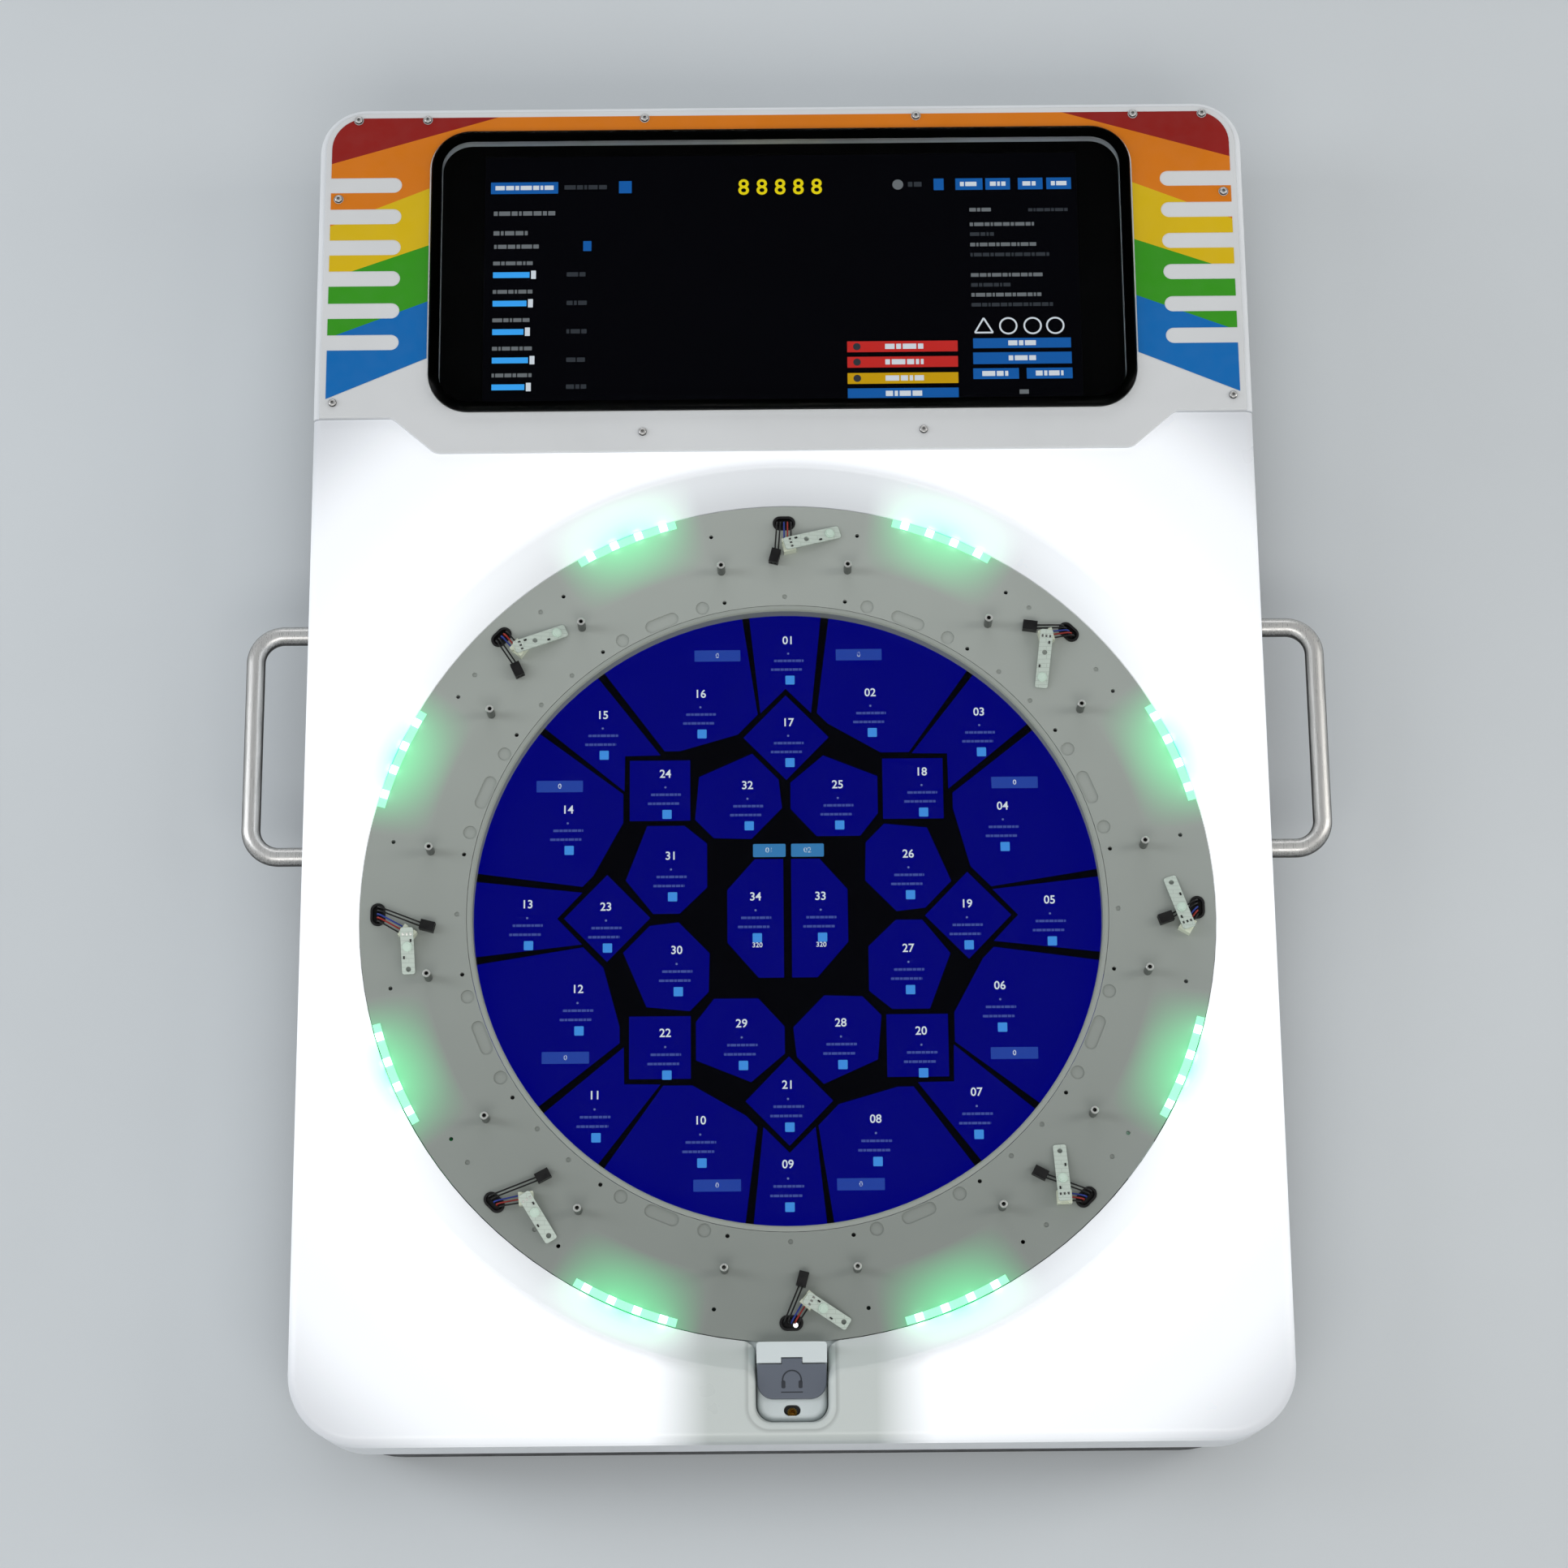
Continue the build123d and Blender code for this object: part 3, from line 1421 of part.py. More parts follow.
with BuildPart() as fan_frames:
    for x, y in fan_places:
        with BuildSketch(level(tray_floor)):
            with Locations((x, y)):
                RectangleRounded(fan_size, fan_size, 5)
                Circle(fan_bore, mode=Mode.SUBTRACT)
                with GridLocations(71.5, 71.5, 2, 2):
                    Circle(2.2, mode=Mode.SUBTRACT)
        extrude(amount=fan_depth)
        with BuildSketch(level(tray_floor)):
            with Locations((x, y)):
                Circle(fan_hub_radius)
                with PolarLocations(fan_bore / 2 + 2, 3):
                    Rectangle(fan_bore, 5)
        extrude(amount=fan_motor_height)
        with BuildSketch(level(tray_floor)):
            with Locations((x, y)):
                Circle(fan_pin_radius)
        extrude(amount=fan_depth - 4)
fan_frames.part.label = "fan_frames"
export_step(fan_frames.part, "parts/fan_frames.step")


def rotor(place):
    """A hub with pitched blades on a blind bore."""
    x, y = place
    with BuildPart() as wheel:
        with BuildSketch(level(rotor_level)):
            with Locations((x, y)):
                Circle(fan_hub_radius)
        extrude(amount=rotor_height)
        for index in range(fan_blades):
            angle = index * 360 / fan_blades
            outward = polar_to_point(1, angle)
            root = Plane(
                (
                    x + outward[0] * (fan_hub_radius - 2),
                    y + outward[1] * (fan_hub_radius - 2),
                    rotor_level + rotor_height / 2,
                ),
                z_dir=(outward[0], outward[1], 0),
                x_dir=(-outward[1], outward[0], 0),
            )
            with BuildSketch(root):
                Rectangle(20, 1.6, rotation=35)
            extrude(amount=fan_tip - fan_hub_radius)
        with BuildSketch(level(rotor_level)):
            with Locations((x, y)):
                Circle(fan_pin_radius + fan_running)
        extrude(amount=fan_depth - fan_motor_height - fan_gap - 3.5, mode=Mode.SUBTRACT)
    return wheel.part


with BuildPart() as fan_rotor_right:
    add(rotor(fan_places[0]))
fan_rotor_right.part.label = "fan_rotor_right"
export_step(fan_rotor_right.part, "parts/fan_rotor_right.step")

with BuildPart() as fan_rotor_left:
    add(rotor(fan_places[1]))
fan_rotor_left.part.label = "fan_rotor_left"
export_step(fan_rotor_left.part, "parts/fan_rotor_left.step")

# ---- Sockets and the power switch in the tray's upper end wall ----
socket_reach = 18
inlet_reach = 26
switch_x = inlet_x + 16
switch_width = 12
switch_height = 16
switch_clearance = 0.4
switch_tilt = 8
switch_pivot_depth = 5
switch_level = inlet_level + inlet_height / 2
pivot_y = tray_end - switch_pivot_depth
pivot_radius = 1.2

with BuildPart() as power_inlet:
    with BuildSketch(Plane.XZ.offset(-tray_end)):
        with Locations((inlet_x, inlet_level + inlet_height / 2)):
            Rectangle(inlet_width, inlet_height)
    extrude(amount=inlet_reach)
    with BuildSketch(Plane.XZ.offset(-tray_end)):
        with Locations((inlet_x - 9, switch_level)):
            RectangleRounded(24, 16, 3)
    extrude(amount=18, mode=Mode.SUBTRACT)
    with BuildSketch(Plane.XZ.offset(-tray_end + 18)):
        with Locations((inlet_x - 9, switch_level)):
            RectangleRounded(20, 12, 2)
            with Locations((0, 2.5)):
                Rectangle(2, 4)
    extrude(amount=-12)
    with BuildSketch(Plane.XZ.offset(-tray_end)):
        with Locations((switch_x, switch_level)):
            Rectangle(switch_width + 2 * switch_clearance, switch_height + 2 * switch_clearance)
    extrude(amount=14, mode=Mode.SUBTRACT)
    with BuildSketch(Plane.YZ.offset(switch_x)):
        with Locations((pivot_y, switch_level)):
            Circle(pivot_radius)
    extrude(amount=switch_width / 2 + switch_clearance, both=True)
power_inlet.part.label = "power_inlet"
export_step(power_inlet.part, "parts/power_inlet.step")

with BuildPart() as power_rocker:
    # The rocker is drawn square to the wall and turned to its off position.
    tilted = polar_to_point(1, -switch_tilt)
    rocker_plane = Plane(
        (switch_x, pivot_y, switch_level), x_dir=(0, tilted[0], tilted[1]), z_dir=(1, 0, 0)
    )
    half = switch_height / 2 - 0.6
    with BuildSketch(rocker_plane):
        with BuildLine():
            Polyline(
                (-2.5, -half + 3),
                (3.2, -half),
                (2.4, 0),
                (3.2, half),
                (-2.5, half - 3),
                close=True,
            )
        make_face()
        Circle(pivot_radius + 0.06, mode=Mode.SUBTRACT)
    extrude(amount=switch_width / 2, both=True)
power_rocker.part.label = "power_rocker"
export_step(power_rocker.part, "parts/power_rocker.step")

with BuildPart() as rear_sockets:
    # A pair of data sockets and a video socket on the display board.
    with BuildSketch(Plane.XZ.offset(-tray_end)):
        with Locations((usb_x, socket_level + usb_height / 2)):
            Rectangle(usb_width, usb_height)
        with Locations((video_x, socket_level + video_height / 2)):
            Rectangle(video_width, video_height)
    extrude(amount=socket_reach)
    with BuildSketch(Plane.XZ.offset(-tray_end)):
        with Locations((usb_x, socket_level + usb_height / 2)):
            with GridLocations(16, 0, 2, 1):
                Rectangle(13.2, 5.6)
        with Locations((video_x, socket_level + video_height / 2)):
            Rectangle(14.5, 5)
    extrude(amount=12, mode=Mode.SUBTRACT)
rear_sockets.part.label = "rear_sockets"
export_step(rear_sockets.part, "parts/rear_sockets.step")
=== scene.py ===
import math

import bmesh
import bpy
from mathutils import Matrix, Vector


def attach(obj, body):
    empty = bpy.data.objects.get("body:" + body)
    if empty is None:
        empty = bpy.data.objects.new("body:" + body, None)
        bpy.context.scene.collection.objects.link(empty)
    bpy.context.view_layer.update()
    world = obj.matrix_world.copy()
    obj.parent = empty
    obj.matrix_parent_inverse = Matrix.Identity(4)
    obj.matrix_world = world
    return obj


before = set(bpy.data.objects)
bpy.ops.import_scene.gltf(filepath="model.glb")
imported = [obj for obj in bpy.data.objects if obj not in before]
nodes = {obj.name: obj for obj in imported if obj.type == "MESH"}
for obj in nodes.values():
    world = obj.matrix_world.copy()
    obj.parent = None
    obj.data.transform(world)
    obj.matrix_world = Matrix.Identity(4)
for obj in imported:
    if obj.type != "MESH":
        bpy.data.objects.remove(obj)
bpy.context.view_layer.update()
print("frame loaded:", len(nodes), "nodes")

mm = 0.001
ringCentre = (0.0, -102.5)  # middle of the round screen, in mm


# Camera and room

camera = {
    "lens": 80.4, "sensor": 36, "place": (-0.0015, -0.592, 2.207),
    "tilt": 15.1, "roll": -0.52, "clip": (0.05, 50),
}
room = {
    "floorColour": (213, 218, 221),
    "floorSize": 7.0,
    "worldColour": (244, 247, 250),
    "worldStrength": 0.40,
    "mirrorStrength": 0.06,  # what polished faces see straight above
}
lightAim = (0, 0, 0.05)
lights = [
    # name, place, size, power, colour
    ("overheadSoftbox", (0.0, -1.7, 2.5), (2.6, 1.0), 24, (255, 253, 250)),
    ("leftSoftbox", (-2.3, 0.2, 1.4), (0.8, 2.4), 20, (248, 251, 255)),
    ("rightSoftbox", (2.3, 0.2, 1.4), (0.8, 2.4), 17, (255, 252, 248)),
    ("backSoftbox", (0.0, 2.9, 1.3), (2.4, 0.7), 12, (252, 253, 255)),
]


# sRGB 0 to 255 into scene values.
def linear(colour):
    out = []
    for c in colour[:3]:
        c = c / 255
        out.append(c / 12.92 if c <= 0.04045 else ((c + 0.055) / 1.055) ** 2.4)
    return (*out, 1.0)


def addObject(name, data):
    obj = bpy.data.objects.new(name, data)
    bpy.context.scene.collection.objects.link(obj)
    return obj


def makeCamera():
    data = bpy.data.cameras.new("camera")
    data.lens = camera["lens"]
    data.sensor_width = camera["sensor"]
    data.clip_start, data.clip_end = camera["clip"]
    obj = addObject("camera", data)
    turn = Matrix.Rotation(math.radians(camera["tilt"]), 4, "X")
    roll = Matrix.Rotation(math.radians(camera["roll"]), 4, "Z")
    obj.matrix_world = Matrix.Translation(camera["place"]) @ turn @ roll
    bpy.context.scene.camera = obj


def makeLights():
    for name, place, size, power, colour in lights:
        data = bpy.data.lights.new(name, "AREA")
        data.shape = "RECTANGLE"
        data.size, data.size_y = size
        data.energy = power
        data.color = linear(colour)[:3]
        obj = addObject(name, data)
        obj.location = place
        aim = Vector(lightAim) - Vector(place)
        obj.rotation_mode = "QUATERNION"
        obj.rotation_quaternion = aim.to_track_quat("-Z", "Y")


def makeWorld():
    world = bpy.data.worlds.new("studio")
    bpy.context.scene.world = world
    world.use_nodes = True
    back = world.node_tree.nodes["Background"]
    back.inputs["Color"].default_value = linear(room["worldColour"])
    # Polished faces see a darker room above them than the one that lights the object
    tree = world.node_tree
    paths = tree.nodes.new("ShaderNodeLightPath")
    level = tree.nodes.new("ShaderNodeMapRange")
    level.inputs["To Min"].default_value = room["worldStrength"]
    level.inputs["To Max"].default_value = room["mirrorStrength"]
    tree.links.new(paths.outputs["Is Glossy Ray"], level.inputs["Value"])
    tree.links.new(level.outputs["Result"], back.inputs["Strength"])
    bpy.context.scene.view_settings.view_transform = "Standard"


# Materials: every one takes its pattern from places on the object, in metres

# A principled material with a few helpers for its pattern nodes.
class Shader:
    def __init__(self, name, colour, rough, metal=0.0, **sockets):
        self.material = bpy.data.materials.new(name)
        self.material.use_nodes = True
        self.tree = self.material.node_tree
        self.main = self.tree.nodes["Principled BSDF"]
        self.base = linear(colour)
        self.rough = rough
        self.main.inputs["Base Color"].default_value = self.base
        self.main.inputs["Roughness"].default_value = rough
        self.main.inputs["Metallic"].default_value = metal
        for socket, value in sockets.items():
            self.main.inputs[socket.replace("_", " ")].default_value = value
        self.place = self.tree.nodes.new("ShaderNodeTexCoord").outputs["Object"]
        self.lastBump = None

    def link(self, a, b):
        self.tree.links.new(a, b)

    # The three parts of a direction or place, the place on the object if none is given.
    def parts(self, vector=None):
        node = self.tree.nodes.new("ShaderNodeSeparateXYZ")
        self.link(vector or self.place, node.inputs["Vector"])
        return node.outputs["X"], node.outputs["Y"], node.outputs["Z"]

    def noise(self, scale, stretch=(1, 1, 1), detail=3.0, rough=0.55):
        mapping = self.tree.nodes.new("ShaderNodeMapping")
        mapping.inputs["Scale"].default_value = stretch
        self.link(self.place, mapping.inputs["Vector"])
        node = self.tree.nodes.new("ShaderNodeTexNoise")
        node.inputs["Scale"].default_value = scale
        node.inputs["Detail"].default_value = detail
        node.inputs["Roughness"].default_value = rough
        self.link(mapping.outputs["Vector"], node.inputs["Vector"])
        return node.outputs["Fac"]

    def math(self, kind, a, b=None, clamp=False):
        node = self.tree.nodes.new("ShaderNodeMath")
        node.operation = kind
        node.use_clamp = clamp
        for index, value in enumerate((a, b)):
            if value is None:
                continue
            if isinstance(value, (int, float)):
                node.inputs[index].default_value = value
            else:
                self.link(value, node.inputs[index])
        return node.outputs[0]

    def times(self, a, b):
        return self.math("MULTIPLY", a, b)

    # Length of the side across from a right angle.
    def across(self, a, b):
        return self.math("SQRT", self.math("ADD", self.times(a, a), self.times(b, b)))

    # A value that runs from low to high, moved to newLow to newHigh.
    def spread(self, value, low, high, newLow, newHigh):
        node = self.tree.nodes.new("ShaderNodeMapRange")
        for key, number in (("From Min", low), ("From Max", high), ("To Min", newLow), ("To Max", newHigh)):
            node.inputs[key].default_value = number
        self.link(value, node.inputs["Value"])
        return node.outputs["Result"]

    # A shade of grey for each share of the way from 0 to 1.
    def steps(self, value, stops, curve="LINEAR"):
        ramp = self.tree.nodes.new("ShaderNodeValToRGB")
        ramp.color_ramp.interpolation = curve
        while len(ramp.color_ramp.elements) < len(stops):
            ramp.color_ramp.elements.new(0.5)
        for element, (place, grey) in zip(ramp.color_ramp.elements, stops):
            element.position = place
            element.color = (grey, grey, grey, 1)
        self.link(value, ramp.inputs["Fac"])
        return ramp.outputs["Color"]

    def mixColours(self, blend="MIX"):
        node = self.tree.nodes.new("ShaderNodeMix")
        node.data_type = "RGBA"
        node.blend_type = blend
        return node

    # Base colour from low to high as value goes from start to end.
    def tint(self, value, low, high, start=0.35, end=0.65):
        ramp = self.tree.nodes.new("ShaderNodeValToRGB")
        ramp.color_ramp.elements[0].position = start
        ramp.color_ramp.elements[0].color = low
        ramp.color_ramp.elements[1].position = end
        ramp.color_ramp.elements[1].color = high
        self.link(value, ramp.inputs["Fac"])
        self.link(ramp.outputs["Color"], self.main.inputs["Base Color"])

    # Base colour that varies a little about its own value.
    def mottle(self, value, amount):
        low = tuple(c * (1 - amount) for c in self.base[:3]) + (1,)
        high = tuple(min(1, c * (1 + amount)) for c in self.base[:3]) + (1,)
        self.tint(value, low, high)

    def polish(self, value, amount):
        low = max(0.02, self.rough - amount)
        self.link(self.spread(value, 0.3, 0.7, low, self.rough + amount), self.main.inputs["Roughness"])

    def bump(self, value, depth, strength=0.5):
        node = self.tree.nodes.new("ShaderNodeBump")
        node.inputs["Strength"].default_value = strength
        node.inputs["Distance"].default_value = depth
        self.link(value, node.inputs["Height"])
        if self.lastBump is not None:
            self.link(self.lastBump, node.inputs["Normal"])
        self.lastBump = node.outputs["Normal"]
        self.link(self.lastBump, self.main.inputs["Normal"])


# Moulded plastic: fine grain, slow changes of shade and polish.
def plastic(name, colour, rough=0.4, grain=1400, depth=0.00004, blotch=9, **sockets):
    m = Shader(name, colour, rough, **sockets)
    m.mottle(m.noise(blotch, detail=4), 0.03)
    m.polish(m.noise(blotch * 6), 0.07)
    m.bump(m.noise(grain, detail=1), depth, 0.35)
    return m


# Metal with fine lines along one axis.
def brushed(name, colour, rough=0.3, along="Y", depth=0.00002):
    m = Shader(name, colour, rough, 1.0)
    thin = {"X": (0.02, 1, 1), "Y": (1, 0.02, 1), "Z": (1, 1, 0.02)}[along]
    lines = m.noise(2200, thin, detail=2)
    m.mottle(m.noise(700, thin, detail=3), 0.14)
    m.polish(lines, 0.1)
    m.bump(lines, depth, 0.5)
    return m


# Bars, posts and screws: painted shade on steep sides and painted highlight on tops, by which way each face
# points
def barShader(name, side, top):
    m = brushed(name, top, 0.34)
    m.main.inputs["Metallic"].default_value = 0.55
    geometry = m.tree.nodes.new("ShaderNodeNewGeometry")
    upward = m.parts(geometry.outputs["Normal"])[2]
    grain = m.spread(m.noise(900, (1, 0.05, 1)), 0.3, 0.7, -0.08, 0.08)
    m.tint(m.math("ADD", upward, grain), linear(side), linear(top), 0.35, 0.9)
    return m


# Powder coat on metal: orange peel with small specks.
def coated(name, colour, rough=0.42, grain=900):
    m = Shader(name, colour, rough)
    m.mottle(m.noise(14, detail=5), 0.035)
    m.polish(m.noise(120), 0.08)
    m.bump(m.noise(grain, detail=2), 0.00006, 0.4)
    return m


# Rubber and matt mouldings: dull, speckled, slightly dusty.
def cast(name, colour, rough=0.7, grain=1100):
    m = Shader(name, colour, rough)
    m.mottle(m.noise(60, detail=6), 0.22)
    m.polish(m.noise(300), 0.1)
    m.bump(m.noise(grain, detail=2), 0.00008, 0.5)
    return m


# Circuit board: solder mask with raised tracks and pads.
def board(name, colour, trace, rough=0.3):
    m = Shader(name, colour, rough)
    bricks = m.tree.nodes.new("ShaderNodeTexBrick")
    bricks.inputs["Scale"].default_value = 160
    bricks.inputs["Mortar Size"].default_value = 0.035
    bricks.inputs["Brick Width"].default_value = 1.7
    bricks.inputs["Row Height"].default_value = 0.42
    m.link(m.place, bricks.inputs["Vector"])
    m.tint(bricks.outputs["Fac"], m.base, linear(trace), 0.2, 0.8)
    m.polish(m.noise(400), 0.08)
    m.bump(bricks.outputs["Fac"], 0.00003, 0.6)
    return m


# A lit part of a screen, with the faint grid of its dots in its shade.
def emitter(name, colour, strength, base=(20, 20, 24)):
    m = Shader(name, base, 0.35, Specular_IOR_Level=0.0)
    m.mottle(m.noise(900, detail=1), 0.1)
    m.main.inputs["Emission Color"].default_value = linear(colour)
    m.main.inputs["Emission Strength"].default_value = strength
    return m


# Glass with faint wipe marks.
def clear(name, colour):
    m = Shader(name, colour, 0.0, Transmission_Weight=1.0, IOR=1.16)
    m.mottle(m.noise(30, detail=4), 0.01)
    return m


# Painted glow on the cover and the ring plate near the lamps behind and beside them, distances in metres
glow = {
    "colour": (250, 253, 255),
    "clusterColour": (40, 240, 140),
    "clusterCount": 8,
    "clusterSharp": 1.5,
    "wellRadius": 0.266,
}


# Distance from the ring's middle and how near the angle is to a light cluster.
def polar(m):
    x, y = m.parts()[:2]
    y = m.math("SUBTRACT", y, ringCentre[1] * mm)
    turn = m.math("COSINE", m.times(m.math("ARCTAN2", y, x), float(glow["clusterCount"])))
    near = m.math("POWER", m.math("MAXIMUM", m.times(turn, -1.0), 0.0), glow["clusterSharp"])
    return m.across(x, y), near


# Painted glow that is white plus the green of the clusters, where green is 0 to 1.
def lit(m, white, green, strength, tone=1.0):
    mix = m.mixColours()
    mix.inputs["A"].default_value = linear(glow["colour"])
    mix.inputs["B"].default_value = linear(glow["clusterColour"])
    m.link(m.math("MULTIPLY", green, tone, clamp=True), mix.inputs["Factor"])
    m.link(mix.outputs["Result"], m.main.inputs["Emission Color"])
    m.link(m.math("ADD", white, m.times(green, strength)), m.main.inputs["Emission Strength"])


# Front cover with painted glow standing in for light through the plastic from the lamps behind, except beside the
# pod
coverPaintedGlow = {
    "span": (0.262, 0.52),  # distances between which the shares below run
    "shares": [(0.0, 0.14), (0.085, 0.26), (0.125, 0.60), (0.42, 0.46), (0.68, 0.10), (1.0, 0.0)],
    "flare": (0.285, 0.3), "flareSides": 0.5,  # extra painted glow on the flare at the left and right
    "podHalf": (0.05, 0.085),  # painted shade keeps the cover dark this far each side of the pod
    "podStart": (0.335, 0.375),
    "podPaintedShade": (208, 215, 212),
    "clusterEnd": 0.287, "clusterStrength": 0.9,
}
# Notch round the pod, and the painted shade and highlight of its rounded edge at each share of the way across it
notchEdge = {
    "half": 0.0215, "end": 0.4165, "corner": 0.0085, "reach": 0.012, "start": (0.362, 0.37),
    "edgePaintedShade": [(0.0, 0.62), (0.07, 1.0), (0.34, 1.0), (0.42, 0.74), (0.60, 1.0)],
}


def coverShader():
    m = plastic("coverPlastic", (212, 215, 220), 0.34, grain=300, depth=0.00003, blotch=5)
    m.bump(m.noise(11, detail=1), 0.0006, 0.18)
    c, n = coverPaintedGlow, notchEdge
    far, near = polar(m)
    x, y = m.parts()[:2]
    offX, down = m.math("ABSOLUTE", x), m.times(y, -1.0)
    # Painted shade beside the pod: a darker base colour, and less painted glow further down
    shade = m.times(m.spread(offX, *c["podHalf"], 1.0, 0.0), m.spread(down, *c["podStart"], 0.0, 1.0))
    m.tint(shade, m.base, linear(c["podPaintedShade"]), 0.0, 1.0)
    podTint = m.main.inputs["Base Color"].links[0].from_socket

    # Painted shade and highlight of a rounded edge round the notch, set by the distance from its mouth
    overX = m.math("MAXIMUM", m.math("SUBTRACT", offX, n["half"] - n["corner"]), 0.0)
    overY = m.math("MAXIMUM", m.math("SUBTRACT", down, n["end"] - n["corner"]), 0.0)
    edge = m.spread(m.across(overX, overY), n["corner"], n["corner"] + n["reach"], 0.0, 1.0)
    mix = m.mixColours("MULTIPLY")
    m.link(m.spread(down, *n["start"], 0.0, 1.0), mix.inputs["Factor"])
    m.link(podTint, mix.inputs["A"])
    m.link(m.steps(edge, n["edgePaintedShade"]), mix.inputs["B"])
    m.link(mix.outputs["Result"], m.main.inputs["Base Color"])

    # Painted glow: white that falls off with distance from the ring, extra on the flare's sides, less beside the
    # pod, green near the clusters
    aside = m.math("DIVIDE", x, far)
    sides = m.times(m.times(aside, aside), m.spread(far, *c["flare"], c["flareSides"], 0.0))
    behind = m.steps(m.spread(far, *c["span"], 0, 1), c["shares"], "EASE")
    white = m.times(m.math("ADD", behind, sides), m.math("SUBTRACT", 1.0, shade))
    green = m.times(near, m.spread(far, glow["wellRadius"], c["clusterEnd"], 1.0, 0.0))
    lit(m, white, green, c["clusterStrength"])
    return m


# Ring plate: greyer towards the foot, with a painted green glow beside the clusters
plateShade = {
    "colour": (150, 154, 150), "foot": (136, 142, 137), "head": (172, 178, 172), "run": (-0.37, 0.17),
    "clusterStart": 0.228, "clusterStrength": 0.8, "clusterTone": 30.0,
}


def plateShader():
    d = plateShade
    m = plastic("ringPlate", d["colour"], 0.5, grain=1500, depth=0.00003, blotch=7)
    far, near = polar(m)
    y = m.parts()[1]
    m.tint(m.spread(y, *d["run"], 0, 1), linear(d["foot"]), linear(d["head"]), 0.0, 1.0)
    # Painted glow of the clusters on the plate
    green = m.times(near, m.spread(far, d["clusterStart"], glow["wellRadius"], 0.0, 1.0))
    lit(m, 0.0, green, d["clusterStrength"], d["clusterTone"])
    return m


# Grey face of the screen trim, with painted shade making it a little darker on its inner edge
trimRing = {"grey": (158, 164, 158), "inner": (150, 156, 148), "edge": (0.1962, 0.1972)}


def trimShader():
    m = Shader("trimAcrylic", trimRing["grey"], 0.4)
    far = polar(m)[0]
    m.tint(m.spread(far, *trimRing["edge"], 0, 1), linear(trimRing["inner"]), linear(trimRing["grey"]), 0.0, 1.0)
    m.polish(m.noise(200), 0.08)
    m.bump(m.noise(900, detail=1), 0.00003, 0.3)
    return m


vinyls = {
    "red": (152, 28, 22), "orange": (224, 124, 8), "yellow": (224, 188, 2),
    "green": (56, 158, 24), "blue": (0, 110, 188),
}
screenInks = {
    "zone": ((0, 0, 118), 1.0), "figure": ((215, 220, 228), 1.0), "line": ((70, 84, 160), 0.9),
    "dim": ((110, 122, 170), 0.9), "key": ((66, 140, 222), 1.0), "tag": ((38, 66, 158), 1.0),
    "button": ((56, 120, 176), 1.0), "greyLine": ((120, 124, 128), 0.8), "faint": ((58, 62, 68), 0.8),
    "slider": ((62, 168, 250), 1.0), "redKey": ((196, 44, 40), 1.0), "yellowKey": ((202, 156, 16), 1.0),
    "blueKey": ((24, 92, 168), 1.0), "title": ((236, 214, 20), 1.0),
}


